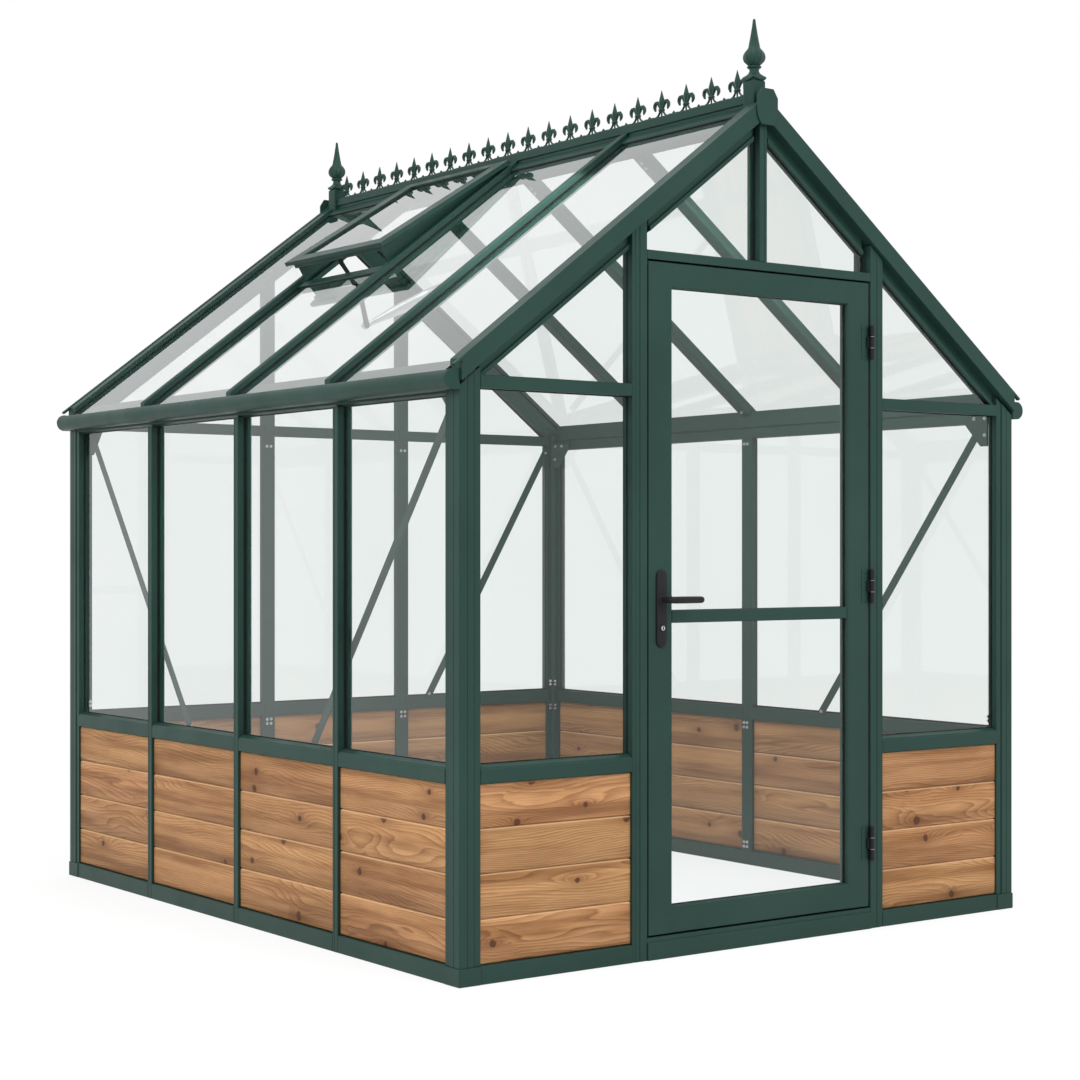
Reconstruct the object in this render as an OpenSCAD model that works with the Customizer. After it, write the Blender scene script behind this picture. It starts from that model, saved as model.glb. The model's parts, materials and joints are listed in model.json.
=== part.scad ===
// Glass greenhouse with a glazed aluminium frame, boarded base walls and one hinged door.
// Units are millimetres, +Z is up. The door gable faces -Y, and the ridge runs along Y.
// "Depth" is measured inwards from the outer face of a wall.

/* [House] */
// Width over the side walls
house_w = 2240; // [2000:10:2600]
// Length over the gables
house_l = 2560; // [2200:10:3200]
// Height of the roof's top line at the ridge
apex_z = 2583; // [2450:1:2750]
// Roof slope in degrees
pitch = 37.3; // [34:0.1:41]
// Bays along each side wall
side_bays = 4; // [3:1:5]

/* [Walls] */
// Height of the base rail
base_h = 52; // [40:1:70]
// Underside of the sill rail
sill_low = 555; // [450:5:650]
// Top of the sill rail where the glass stands
sill_top = 607; // [500:1:700]
// Underside of the eaves beam
eaves_low = 1628; // [1600:1:1640]
// Depth of posts and rails
wall_d = 46; // [40:1:60]
// Width of a corner column's square core
column_w = 50; // [40:1:60]
// Width of a glazing bar's outer cap
cap_w = 30; // [24:1:40]
// Width of a glazing bar's inner flange
flange_w = 56; // [44:1:64]
// Distance of the back gable's posts from the middle
back_post_x = 310; // [250:5:400]

/* [Glass and boards] */
// Thickness of the glass
glass_t = 4; // [3:0.5:6]
// Depth of the glass behind the outer face
glass_depth = 24; // [20:1:26]
// Depth of the boards behind the outer face
board_depth = 10; // [6:1:14]
// Thickness of the boards
board_t = 19; // [14:1:19]

/* [Door] */
// Width of the door leaf
leaf_w = 899; // [760:1:920]
// Underside of the door leaf
leaf_low = 72; // [66:1:90]
// Top of the door leaf
leaf_top = 2046; // [1900:1:2080]
// Thickness of the door leaf
leaf_t = 37; // [30:1:40]
// Width of the door's stiles
stile_w = 92; // [70:1:110]
// Height of the door's top rail
top_rail_h = 73; // [60:1:100]
// Height of the door's bottom rail
bottom_rail_h = 80; // [60:1:120]
// Underside of the door's middle bar
mid_bar_z = 986; // [800:1:990]
// Height of the door's middle bar
mid_bar_h = 36; // [25:1:50]
// Width of each door post
door_post_w = 55; // [50:1:70]

/* [Handle] */
// Height of the lever's spindle
lever_z = 1054; // [1050:1:1100]
// Length of the lever from its spindle
lever_l = 118; // [90:1:130]
// Thickness of the lever
lever_d = 19; // [14:1:22]
// Distance from the leaf's face to the middle of the lever
lever_out = 54; // [45:1:60]
// Height of the handle's long plate
plate_h = 228; // [200:1:260]
// Width of the handle's long plate
plate_w = 35; // [28:1:40]

/* [Roof] */
// Height of the bargeboards' face across the slope
barge_h = 52; // [45:1:60]
// Reach of the roof beyond the side wall
eaves_reach = 27; // [20:1:32]
// Outward reach of the gutter
gutter_w = 50; // [44:1:60]
// Height of the gutter
gutter_h = 58; // [50:1:64]
// Opening angle at which the roof vent stands
vent_angle = 5; // [0:1:25]
// Length of the roof vent down the slope
vent_l = 615; // [500:1:680]
// Number of fleurs along the ridge
fleurs = 20; // [12:1:22]
// Height of a fleur above the ridge rail
fleur_h = 82; // [60:1:90]

/* [Hidden] */

fine = 64;        // facet count of round bores, pins and barrels
joint = 0.5;      // hairline between butted members
huge = 6000;      // larger than the whole house

// The handle stands out at the front, so the plan is moved back to centre the whole outline.
leaf_depth = 3;       // leaf's face behind the wall's face
lever_neck_r = lever_d / 2 + 1;
lever_proud = lever_d / 2 + 0.6;   // how far the neck runs on past the arm's middle
apex_plate_y = 20;    // how far the apex plates stand out from the gables
shift_y = (lever_out + lever_proud - leaf_depth - apex_plate_y) / 2;
front_y = -house_l / 2 + shift_y;
back_y = house_l / 2 + shift_y;
half_w = house_w / 2;

bay = (house_l - 80) / side_bays;
post_y = [for (i = [1 : side_bays - 1]) front_y + 40 + i * bay];
column_edge = column_w + 23;   // how far a column's flange reaches from the corner
neck_w = 14;                   // web between a bar's cap and its flange
cap_d = 22;                    // depth of a bar's outer cap
flange_d = 30;                 // depth at which a bar's inner flange starts
glass_in = 8;                  // glass edge, from the middle of a bar
gable_bar_low = 1648;          // underside of the gables' level bars
gable_bar_top = 1684;          // top of the gables' level bars

leaf_edge = leaf_w / 2;
post_in = leaf_edge + 7;       // inner face of a door post
post_out = post_in + door_post_w;
stop_d = wall_d + 10;          // depth of the door stop
stop_x = post_in - 20;         // inner edge of the door stop
hinge_x = leaf_edge + 3.5;
hinge_y = front_y - 10;
hinge_r = 9;
hinge_l = 107;
hinge_z = [271, 1086, 1858];
lock_z = lever_z - 83;
handle_x = -leaf_edge + stile_w / 2 + 1.5;

roof_tan = tan(pitch);
// Height of the roof's top line at a distance x from the middle
function top_z(x) = apex_z - abs(x) * roof_tan;
// Height at a distance n below the roof's top line, measured square to the slope
function roof_z(x, n) = top_z(x) - n / cos(pitch);
// Distance down the slope at which a point n below the top line is x from the middle
function slope_s(x, n) = (x + n * sin(pitch)) / cos(pitch);

roof_cap_n = 18;      // depth of a roof bar's cap below the top line
roof_glass_n = 20;    // top of the roof glass
roof_flange_n = 26;   // top of a roof bar's inner flange
roof_bar_n = 44;      // underside of a roof bar
lip_n = 14;           // top of the ridge's lip over the glass
barge_t = 14;         // thickness of the bargeboards
ridge_reach = 40;     // half width of the ridge beam's wings
reach_x = half_w + eaves_reach;
rafter_low_n = 92;    // underside of a gable rafter
column_cut_n = 62;    // columns stop this far below the roof's top line

crest_low = 2570;
crest_top = 2598;
vent_y0 = post_y[1] + cap_w / 2 + 3;
vent_y1 = post_y[2] - cap_w / 2 - 3;
vent_hinge_s = 50;    // hinge line of the vent, down the slope
vent_rail = 34;       // width of the vent frame's members
vent_up = 20;         // vent frame above the roof's top line when shut
vent_down = 12;       // vent frame below it
vent_over = cap_w + 3; // how far the vent's top laps over each roof bar
vent_lap = 3;         // underside of the lap, above the hinge line
vent_sill_s = vent_hinge_s + vent_l + 18;
opener_y = (vent_y0 + vent_y1) / 2;

green = [0.14, 0.27, 0.22];
dark = [0.05, 0.05, 0.055];
timber = [0.70, 0.52, 0.36];
clear = [0.85, 0.9, 0.9, 0.35];
steel = [0.75, 0.75, 0.76];

// ---- helpers ----

// A prism along Y from a flat outline in X and Z
module along_y(y0, y1) {
    translate([0, y1, 0]) rotate([90, 0, 0]) linear_extrude(y1 - y0) children();
}

// A prism along X from a flat outline in Y and Z
module along_x(x0, x1) {
    translate([x0, 0, 0]) rotate([90, 0, 90]) linear_extrude(x1 - x0) children();
}

// Turns a shape drawn at x >= 0 or at the right wall into one on the given side
module on_side(side) {
    mirror([side < 0 ? 1 : 0, 0, 0]) children();
}

// Turns a shape drawn for the front gable into one for the back
module at_back() {
    translate([0, front_y + back_y, 0]) mirror([0, 1, 0]) children();
}

// Local frame of a roof slope: x runs down the slope, z stands square to it
module on_slope(side) {
    on_side(side) translate([0, 0, apex_z]) rotate([0, pitch, 0]) children();
}

// Everything between two distances from the middle
module between_x(x0, x1) {
    translate([x0, -huge, -huge]) cube([x1 - x0, 2 * huge, 2 * huge]);
}

// Everything more than n below the roof's top line on the right side
module below_roof(n) {
    along_y(-huge, huge)
        polygon([[-huge, -huge], [huge, -huge], [huge, roof_z(huge, n)], [0, roof_z(0, n)],
            [-huge, roof_z(huge, n)]]);
}

// Outline of a glazing bar: cap, web and inner flange; x is along the wall, y is depth
module bar_outline() {
    polygon([
        [-cap_w / 2, 1.5], [-cap_w / 2 + 1.5, 0], [3, 0], [3.6, 1.5], [5, 1.5], [5.6, 0],
        [cap_w / 2 - 1.5, 0], [cap_w / 2, 1.5], [cap_w / 2, cap_d],
        [neck_w / 2, cap_d], [neck_w / 2, flange_d], [flange_w / 2, flange_d],
        [flange_w / 2, wall_d - 3], [flange_w / 2 - 9, wall_d], [-flange_w / 2 + 9, wall_d],
        [-flange_w / 2, wall_d - 3], [-flange_w / 2, flange_d],
        [-neck_w / 2, flange_d], [-neck_w / 2, cap_d], [-cap_w / 2, cap_d]
    ]);
}

// Outline of a sill rail: depth and height, with a sloping cap and a slot for the glass
module sill_outline() {
    polygon([
        [1, sill_low], [1, sill_top - 14], [4, sill_top - 10], [4, sill_top - 8],
        [glass_depth - 3, sill_top], [glass_depth - 1, sill_top], [glass_depth - 1, sill_top - 7],
        [glass_depth + glass_t + 1, sill_top - 7], [glass_depth + glass_t + 1, sill_top - 4],
        [wall_d, sill_top - 4], [wall_d, sill_low]
    ]);
}

// Outline of a base rail: depth and height
module base_outline() {
    polygon([[0, 0], [0, base_h - 3], [3, base_h], [wall_d, base_h], [wall_d, 0]]);
}

// A rail along each bay of the right wall, with a gap at each end; the outline is drawn in
// depth and height
module side_rails(gap) {
    for (i = [0 : side_bays - 1]) {
        y0 = i == 0 ? front_y + column_edge + gap : post_y[i - 1] + cap_w / 2 + gap;
        y1 = i == side_bays - 1 ? back_y - column_edge - gap : post_y[i] - cap_w / 2 - gap;
        along_y(y0, y1) mirror([1, 0]) translate([-half_w, 0]) children();
    }
}

// A rail across one stretch of the front gable; the outline is drawn in depth and height
module front_rail(x0, x1) {
    translate([0, front_y, 0]) along_x(x0, x1) children();
}

// A flat bar's outline, from one end to the other
module strap(from, to, width) {
    run = norm(to - from);
    rise = atan2(to[1] - from[1], to[0] - from[0]);
    translate([from[0], from[1]]) rotate(rise) translate([0, -width / 2])
        square([run, width]);
}

// ---- base and walls ----

// A rail along each stretch of both gables; the outline is drawn in depth and height
module gable_rails(gap) {
    for (side = [-1, 1]) on_side(side)
        front_rail(post_out + gap, half_w - column_edge - gap) children();
    at_back() {
        inner = back_post_x - cap_w / 2 - gap;
        front_rail(-inner, inner) children();
        for (side = [-1, 1]) on_side(side)
            front_rail(back_post_x + cap_w / 2 + gap, half_w - column_edge - gap) children();
    }
}

module base_rails() {
    color(green) {
        for (side = [-1, 1]) on_side(side) side_rails(joint) base_outline();
        gable_rails(joint) base_outline();
    }
}

module base_corner_cap() {
    proud = 3;
    translate([half_w - column_edge, front_y - proud, 0])
        cube([column_edge + proud, column_edge + proud, base_h - 1]);
}

module base_corner_caps() {
    color(green) for (side = [-1, 1]) on_side(side) {
        base_corner_cap();
        at_back() base_corner_cap();
    }
}

// A two-step threshold between the door posts, with an upstand for the leaf to shut against
module door_threshold() {
    step_z = base_h;
    lip_z = leaf_low - 6;
    color(green) {
        front_rail(-post_in + joint, post_in - joint)
            polygon([[-4, 0], [-4, step_z - 2], [-2, step_z], [1, step_z], [1, lip_z - 1], [2, lip_z],
                [wall_d - joint, lip_z], [wall_d - joint, 0]]);
        front_rail(-stop_x + joint, stop_x - joint)
            polygon([[wall_d - 2, 0], [wall_d - 2, lip_z], [wall_d, lip_z], [wall_d, leaf_low + 16],
                [stop_d, leaf_low + 16], [stop_d, 0]]);
    }
}

// Outline of the front right corner column, drawn from its outer corner
module column_outline() {
    c = column_w;
    e = column_edge;
    t = 34;   // depth of the side flanges
    k = 56;   // inner square of the column
    polygon([
        [0, 1.5], [1.5, 0], [c * 0.52, 0], [c * 0.52 + 0.7, 1.5], [c * 0.52 + 2.1, 1.5],
        [c * 0.52 + 2.8, 0], [c - 1, 0], [c, 1], [c, 6], [c + 2, 6], [c + 2, 3], [e, 3],
        [e, glass_depth - 1], [e - 10, glass_depth - 1], [e - 10, glass_depth + glass_t + 1],
        [e, glass_depth + glass_t + 1], [e, t], [k, t],
        [k, k - 3], [k - 3, k], [t, k],
        [t, e], [glass_depth + glass_t + 1, e], [glass_depth + glass_t + 1, e - 10],
        [glass_depth - 1, e - 10], [glass_depth - 1, e], [3, e], [3, c + 2], [6, c + 2], [6, c],
        [1, c], [0, c - 1], [0, c * 0.52 + 2.8], [1.5, c * 0.52 + 2.1],
        [1.5, c * 0.52 + 0.7], [0, c * 0.52]
    ]);
}

module corner_column() {
    intersection() {
        translate([half_w, front_y, base_h])
            linear_extrude(apex_z - base_h) mirror([1, 0]) column_outline();
        below_roof(column_cut_n);
    }
}

module corner_columns() {
    color(green) for (side = [-1, 1]) on_side(side) {
        corner_column();
        at_back() corner_column();
    }
}

// A post whose inner flange is left off at the heights given, where rails run up to its cap
module notched_post(height, notches) {
    difference() {
        linear_extrude(height) bar_outline();
        for (notch = notches, way = [0, 1]) mirror([way, 0, 0])
            translate([cap_w / 2, flange_d - 1, notch[0]])
                cube([flange_w, wall_d, notch[1] - notch[0]]);
    }
}

rail_notches = [[-1, base_h + joint], [sill_low - joint, sill_top - 4 + joint]];
gable_notches = [each rail_notches, [gable_bar_low - joint, gable_bar_top + joint]];

module side_posts() {
    color(green) for (side = [-1, 1], y = post_y) on_side(side)
        translate([half_w, y, 0]) rotate(90) notched_post(eaves_low - joint, rail_notches);
}

// Outline of the right door post: x from the middle of the house, y is depth
module door_post_outline() {
    a = post_in;
    b = post_out;
    polygon([
        [a, 1], [a + 1, 0], [a + 26, 0], [a + 27, 2], [a + 29, 2], [a + 30, 0], [b - 12, 0],
        [b - 11, 1.5], [b, 1.5],
        [b, glass_depth - 1], [b - 9, glass_depth - 1], [b - 9, glass_depth + glass_t + 1],
        [b, glass_depth + glass_t + 1], [b, wall_d], [a + 30, wall_d], [a + 30, stop_d],
        [stop_x, stop_d], [stop_x, wall_d], [a, wall_d]
    ]);
}

module door_posts() {
    color(green) for (side = [-1, 1]) on_side(side) intersection() {
        translate([0, front_y, 0]) linear_extrude(apex_z) door_post_outline();
        below_roof(barge_h + 2);
    }
}

module back_posts() {
    color(green) for (side = [-1, 1]) on_side(side) at_back() intersection() {
        translate([back_post_x, front_y, 0]) notched_post(apex_z, gable_notches);
        below_roof(barge_h + 2);
    }
}

module sill_rails() {
    color(green) {
        for (side = [-1, 1]) on_side(side) side_rails(joint) sill_outline();
        gable_rails(joint) sill_outline();
    }
}

// Outline of a boarded infill: depth and height
module board_outline() {
    translate([board_depth, base_h + 1]) square([board_t, sill_low - base_h - 2]);
}

module side_board_panels() {
    color(timber) for (side = [-1, 1]) on_side(side) side_rails(2 * joint) board_outline();
}

module gable_board_panels() {
    color(timber) gable_rails(2 * joint) board_outline();
}

// ---- glass ----

glass_low = sill_top - 6;

module side_glass() {
    color(clear) for (side = [-1, 1], i = [0 : side_bays - 1]) on_side(side) {
        y0 = i == 0 ? front_y + column_edge - 8 : post_y[i - 1] + glass_in;
        y1 = i == side_bays - 1 ? back_y - column_edge + 8 : post_y[i] - glass_in;
        translate([half_w - glass_depth - glass_t, y0, glass_low])
            cube([glass_t, y1 - y0, eaves_low + 7 - glass_low]);
    }
}

// One pane of the front gable between two distances from the middle and two heights,
// cut to the slope above
module gable_pane(x0, x1, z0, z1) {
    intersection() {
        translate([x0, front_y + glass_depth, z0]) cube([x1 - x0, glass_t, z1 - z0]);
        below_roof(rafter_low_n - 7);
    }
}

pane_edge = half_w - column_edge + 8;
transom_low = leaf_top + 6;
transom_top = transom_low + 27;

module gable_glass() {
    color(clear) {
        for (side = [-1, 1]) on_side(side) {
            gable_pane(post_out - 8, pane_edge, glass_low, gable_bar_low + 6);
            gable_pane(post_out - 8, pane_edge, gable_bar_top - 6, apex_z);
            gable_pane(glass_in, post_in - joint, transom_top - 6, apex_z);
        }
        at_back() {
            gable_pane(-back_post_x + glass_in, back_post_x - glass_in, glass_low, gable_bar_low + 6);
            gable_pane(-back_post_x + glass_in, back_post_x - glass_in, gable_bar_top - 6, apex_z);
            for (side = [-1, 1]) on_side(side) {
                gable_pane(back_post_x + glass_in, pane_edge, glass_low, gable_bar_low + 6);
                gable_pane(back_post_x + glass_in, pane_edge, gable_bar_top - 6, apex_z);
            }
        }
    }
}

// ---- eaves and gutters ----

// Outline of the right eaves beam: distance from the middle and height
module eaves_outline() {
    w = half_w;
    g0 = w - glass_depth + 1;
    g1 = w - glass_depth - glass_t - 1;
    polygon([
        [w - 4, eaves_low + 6], [g0, eaves_low], [g0, eaves_low + 8], [g1, eaves_low + 8],
        [g1, eaves_low], [w - wall_d, eaves_low], [w - wall_d, eaves_low + 34],
        [w - wall_d + 5, eaves_low + 36], [w - wall_d + 5, eaves_low + 40], [w - wall_d, eaves_low + 42],
        [w - wall_d, roof_z(w - wall_d, roof_flange_n + 2)], [w - 4, roof_z(w - 4, roof_flange_n + 2)]
    ]);
}

module eaves_beams() {
    color(green) for (side = [-1, 1]) on_side(side)
        along_y(front_y + column_edge + joint, back_y - column_edge - joint) eaves_outline();
}

gutter_z = eaves_low + 12;     // underside of the gutter
gutter_wall = 3;
gutter_y0 = front_y - 4;       // outer ends of the gutter's end caps
gutter_y1 = back_y + 4;

// Outline of the gutter, drawn outwards from the wall's face and up from its underside
module gutter_body(inset) {
    r = gutter_h / 2 - inset;
    cx = gutter_w - gutter_h / 2;
    translate([inset, inset]) square([cx - inset, gutter_h - 2 * inset]);
    intersection() {
        translate([cx, gutter_h / 2]) circle(r, $fn = fine);
        translate([inset, 0]) square([gutter_w, gutter_h]);
    }
}

module gutter_outline() {
    difference() {
        gutter_body(0);
        gutter_body(gutter_wall);
        translate([gutter_wall, gutter_h / 2]) square([gutter_w * 0.66, gutter_h]);
        // the wall side stops short of the roof glass
        translate([-1, gutter_h - 9]) square([gutter_wall + 2, 10]);
    }
}

module gutter(side) {
    color(green) on_side(side) along_y(gutter_y0 + 4, gutter_y1 - 4)
        translate([half_w + 0.5, gutter_z]) gutter_outline();
}

module gutter_left() { gutter(-1); }

module gutter_right() { gutter(1); }

module gutter_end_caps() {
    color(green) for (side = [-1, 1]) on_side(side) {
        along_y(gutter_y0, gutter_y0 + 4 - joint) translate([half_w + 0.5, gutter_z]) gutter_body(0);
        along_y(gutter_y1 - 4 + joint, gutter_y1) translate([half_w + 0.5, gutter_z]) gutter_body(0);
    }
}

// ---- gable bars ----

// Outline of a level gable bar: depth and height
module gable_bar_outline(z0, z1) {
    polygon([
        [1.5, z0 + 1], [1.5, z1 - 1], [2.5, z1], [glass_depth - 1, z1], [glass_depth - 1, z1 - 8],
        [glass_depth + glass_t + 1, z1 - 8], [glass_depth + glass_t + 1, z1], [wall_d - 2, z1],
        [wall_d - 2, z0], [glass_depth + glass_t + 1, z0], [glass_depth + glass_t + 1, z0 + 8],
        [glass_depth - 1, z0 + 8], [glass_depth - 1, z0], [2.5, z0]
    ]);
}

module gable_eaves_bars() {
    color(green) gable_rails(joint) gable_bar_outline(gable_bar_low, gable_bar_top);
}

module door_transom() {
    z0 = transom_low;
    z1 = transom_top;
    color(green) {
        front_rail(-post_in + joint, post_in - joint)
            polygon([
                [0, z0 + 1], [0, z1 - 3], [2, z1], [glass_depth - 1, z1], [glass_depth - 1, z1 - 8],
                [glass_depth + glass_t + 1, z1 - 8], [glass_depth + glass_t + 1, z1],
                [wall_d - joint, z1], [wall_d - joint, z0], [1, z0]
            ]);
        front_rail(-stop_x + joint, stop_x - joint)
            polygon([[wall_d - 2, z1], [stop_d, z1], [stop_d, z0 - 16], [wall_d, z0 - 16],
                [wall_d, z0], [wall_d - 2, z0]]);
    }
}

module gable_mullion() {
    color(green) intersection() {
        translate([0, front_y, transom_top + joint]) linear_extrude(apex_z) bar_outline();
        below_roof(barge_h + 2);
    }
}

// ---- roof ----

// A bargeboard with a plumb foot, and a thin top edge that runs on over the gutter
module bargeboard() {
    top_edge = 9;
    translate([0, 0, apex_z]) rotate([0, pitch, 0]) along_y(front_y - barge_t, front_y - joint)
        polygon([
            [slope_s(joint, 0), 0], [slope_s(reach_x, 0), 0], [slope_s(reach_x, 0), -top_edge],
            [slope_s(half_w - joint, top_edge), -top_edge],
            [slope_s(half_w - joint, barge_h), -barge_h], [slope_s(joint, barge_h), -barge_h]
        ]);
}

module bargeboards() {
    color(green) for (side = [-1, 1]) on_side(side) {
        bargeboard();
        at_back() bargeboard();
    }
}

// A gable rafter: a square bar behind the bargeboard, and a glazing bead that stops at the posts
module gable_rafter(post_slots) {
    difference() {
        intersection() {
            translate([0, front_y, apex_z]) rotate([0, pitch, 0]) along_x(0, house_w)
                polygon([
                    [0, -3], [wall_d, -3], [wall_d, -roof_glass_n + 1], [wall_d - 8, -roof_glass_n + 1],
                    [wall_d - 8, -roof_glass_n - glass_t - 1], [wall_d, -roof_glass_n - glass_t - 1],
                    [wall_d, -rafter_low_n],
                    [glass_depth + glass_t + 1, -rafter_low_n],
                    [glass_depth + glass_t + 1, -rafter_low_n + 8],
                    [glass_depth - 1, -rafter_low_n + 8], [glass_depth - 1, -rafter_low_n],
                    [12, -rafter_low_n], [12, -rafter_low_n + 12], [20, -rafter_low_n + 12],
                    [20, -barge_h + 2], [0, -barge_h + 2]
                ]);
            between_x(joint, half_w - 1);
        }
        // the part below the bargeboard stops at the column, the eaves bar and each post
        intersection() {
            union() {
                between_x(half_w - column_edge - joint, huge);
                for (slot = post_slots) between_x(slot[0], slot[1]);
                translate([-huge, -huge, 0]) cube([2 * huge, 2 * huge, gable_bar_top + joint]);
            }
            translate([0, 0, -1]) difference() {
                translate([-huge, -huge, 0]) cube([2 * huge, 2 * huge, apex_z]);
                translate([0, 0, apex_z + 1]) rotate([0, pitch, 0])
                    translate([-huge, -huge, -barge_h + 2]) cube([2 * huge, 2 * huge, huge]);
            }
        }
    }
}

module gable_rafters() {
    color(green) for (side = [-1, 1]) on_side(side) {
        gable_rafter([[-1, flange_w / 2 + joint], [stop_x - joint, post_out + joint]]);
        at_back()
            gable_rafter([[back_post_x - flange_w / 2 - joint, back_post_x + flange_w / 2 + joint]]);
    }
}

// A member of a roof bar between two distances from the middle, ending in plumb cuts
module roof_member(y, x0, x1) {
    intersection() {
        translate([0, y, apex_z]) rotate([0, pitch, 0]) along_x(0, house_w) children();
        between_x(x0, x1);
    }
}

// One roof bar on the right slope: a cap over the glass, a web and an inner flange
module roof_bar(y) {
    c = cap_w / 2;
    f = flange_w / 2;
    w = neck_w / 2;
    inner_x = half_w - wall_d - 2;
    // thin top of the cap, which runs on over the ridge's lip
    roof_member(y, 15, reach_x)
        polygon([[-c, -2], [-c + 2, 0], [c - 2, 0], [c, -2], [c, -lip_n + 1], [-c, -lip_n + 1]]);
    roof_member(y, ridge_reach + 2, reach_x)
        polygon([[-c, -lip_n + 2], [c, -lip_n + 2], [c, -roof_cap_n], [-c, -roof_cap_n]]);
    roof_member(y, ridge_reach + 2, inner_x)
        polygon([[-w, -roof_cap_n + 1], [w, -roof_cap_n + 1], [w, -roof_flange_n],
            [f, -roof_flange_n], [f, -roof_bar_n + 3], [f - 9, -roof_bar_n],
            [-f + 9, -roof_bar_n], [-f, -roof_bar_n + 3], [-f, -roof_flange_n], [-w, -roof_flange_n]]);
}

module roof_bars(side) {
    color(green) for (y = post_y) on_side(side) roof_bar(y);
}

module roof_bars_left() { roof_bars(-1); }

module roof_bars_right() { roof_bars(1); }

// One roof pane on the right slope
module roof_pane(y0, y1, s0, s1) {
    translate([0, 0, apex_z]) rotate([0, pitch, 0])
        translate([s0, y0, -roof_glass_n - glass_t]) cube([s1 - s0, y1 - y0, glass_t]);
}

pane_s0 = slope_s(32, roof_glass_n + glass_t);
pane_s1 = slope_s(reach_x - 6, roof_glass_n);

module roof_glass() {
    color(clear) for (side = [-1, 1], i = [0 : side_bays - 1]) on_side(side) {
        y0 = i == 0 ? front_y + wall_d - 7 : post_y[i - 1] + glass_in;
        y1 = i == side_bays - 1 ? back_y - wall_d + 7 : post_y[i] - glass_in;
        has_vent = side < 0 && i == 2;
        roof_pane(y0, y1, has_vent ? vent_sill_s + 8 : pane_s0, pane_s1);
    }
}

// The ridge beam's outline: a crest rail on a web, and wings that hold the top edge of the glass
module ridge_outline() {
    r = ridge_reach;
    slot = 29;
    right = [
        [12, crest_top], [14, crest_top - 2], [14, crest_low], [8, crest_low],
        [8, roof_z(8, lip_n)], [r, roof_z(r, lip_n)], [r, roof_z(r, roof_glass_n - 1)],
        [slot, roof_z(slot, roof_glass_n - 1)], [slot, roof_z(slot, roof_glass_n + glass_t + 1)],
        [r, roof_z(r, roof_glass_n + glass_t + 1)], [r, roof_z(r, roof_bar_n)],
        [4, roof_z(4, roof_bar_n)]
    ];
    polygon([each right, for (i = [len(right) - 1 : -1 : 0]) [-right[i][0], right[i][1]]]);
}

finial_w = 50;
finial_in = 43;               // finial's middle behind the gable's face
ridge_y0 = front_y + wall_d + joint;
ridge_y1 = back_y - wall_d - joint;

module ridge_beam() {
    color(green) along_y(ridge_y0, ridge_y1) ridge_outline();
}

// One fleur: a spear between two curled side petals, on a band and a spread foot
module fleur_outline() {
    h = fleur_h;
    polygon([[-26, 0], [-26, 3], [-8, 7], [-4, 0.28 * h], [-9, 0.30 * h], [-9, 0.36 * h], [-5, 0.38 * h],
        [-9, 0.52 * h], [-7, 0.72 * h], [0, h], [7, 0.72 * h], [9, 0.52 * h], [5, 0.38 * h],
        [9, 0.36 * h], [9, 0.30 * h], [4, 0.28 * h], [8, 7], [26, 3], [26, 0]]);
    for (way = [-1, 1]) scale([way, 1])
        polygon([[4, 0.37 * h], [16, 0.66 * h], [27, 0.68 * h], [36, 0.56 * h], [35, 0.42 * h],
            [28, 0.40 * h], [27, 0.50 * h], [22, 0.54 * h], [17, 0.50 * h], [8, 0.36 * h]]);
}

crest_y0 = front_y + finial_in + finial_w / 2 + 52;
crest_y1 = back_y - finial_in - finial_w / 2 - 52;
fleur_t = 6;

module ridge_cresting() {
    pitch_y = (crest_y1 - crest_y0) / (fleurs - 1);
    color(green) for (i = [0 : fleurs - 1])
        translate([0, crest_y0 + i * pitch_y, crest_top])
            along_x(-fleur_t / 2, fleur_t / 2) fleur_outline();
}

finial_post_top = 2637;
finial_top = 2827;

// Square post with a turned ball and spire, standing over the gable's peak
module finial() {
    z0 = crest_top + 1;
    translate([0, front_y + finial_in, 0]) {
        translate([-finial_w / 2, -finial_w / 2, z0]) cube([finial_w, finial_w, finial_post_top - z0]);
        rotate_extrude($fn = fine) polygon([
            [0, finial_post_top - 1], [30, finial_post_top - 1], [35, finial_post_top + 5],
            [33, finial_post_top + 11], [22, finial_post_top + 24], [18, finial_post_top + 34],
            [19, finial_post_top + 38], [23, finial_post_top + 40], [23, finial_post_top + 44],
            [19, finial_post_top + 46], [24, finial_post_top + 50], [31, finial_post_top + 58],
            [34, finial_post_top + 68], [34, finial_post_top + 78], [30, finial_post_top + 88],
            [22, finial_post_top + 97], [17, finial_post_top + 104], [8, finial_post_top + 155],
            [3, finial_top - 2], [0, finial_top]
        ]);
    }
}

module finials() {
    color(green) {
        finial();
        at_back() finial();
    }
}

// Shield-shaped plate over the peak of the bargeboards
module apex_plate() {
    low = 2493;
    shoulder = 2565;
    high = 2604;
    along_y(front_y - apex_plate_y, front_y - barge_t - joint)
        polygon([[-24, high], [24, high], [42, shoulder + 12], [42, low + 42], [37, low + 18],
            [24, low], [-24, low], [-37, low + 18], [-42, low + 42], [-42, shoulder + 12]]);
}

module apex_plates() {
    color(green) {
        apex_plate();
        at_back() apex_plate();
    }
}

// ---- roof vent ----

// Local frame of the open vent on the left slope: x runs from its hinge to its free edge
module on_vent() {
    on_side(-1) translate([0, 0, apex_z]) rotate([0, pitch, 0])
        translate([vent_hinge_s, 0, 2]) rotate([0, -vent_angle, 0]) children();
}

cheek_t = 3;

// Draught cheek: a thin wedge that closes one side of the open vent
module vent_cheek(y) {
    low = 10;     // its lower edge runs this far below the hinge line
    run = vent_l - 6;
    along_y(y, y + cheek_t)
        polygon([[vent_rail + 6, -low], [vent_rail + 6, -low - 4],
            [run, -run * tan(vent_angle) - low], [run, -low]]);
}

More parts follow.
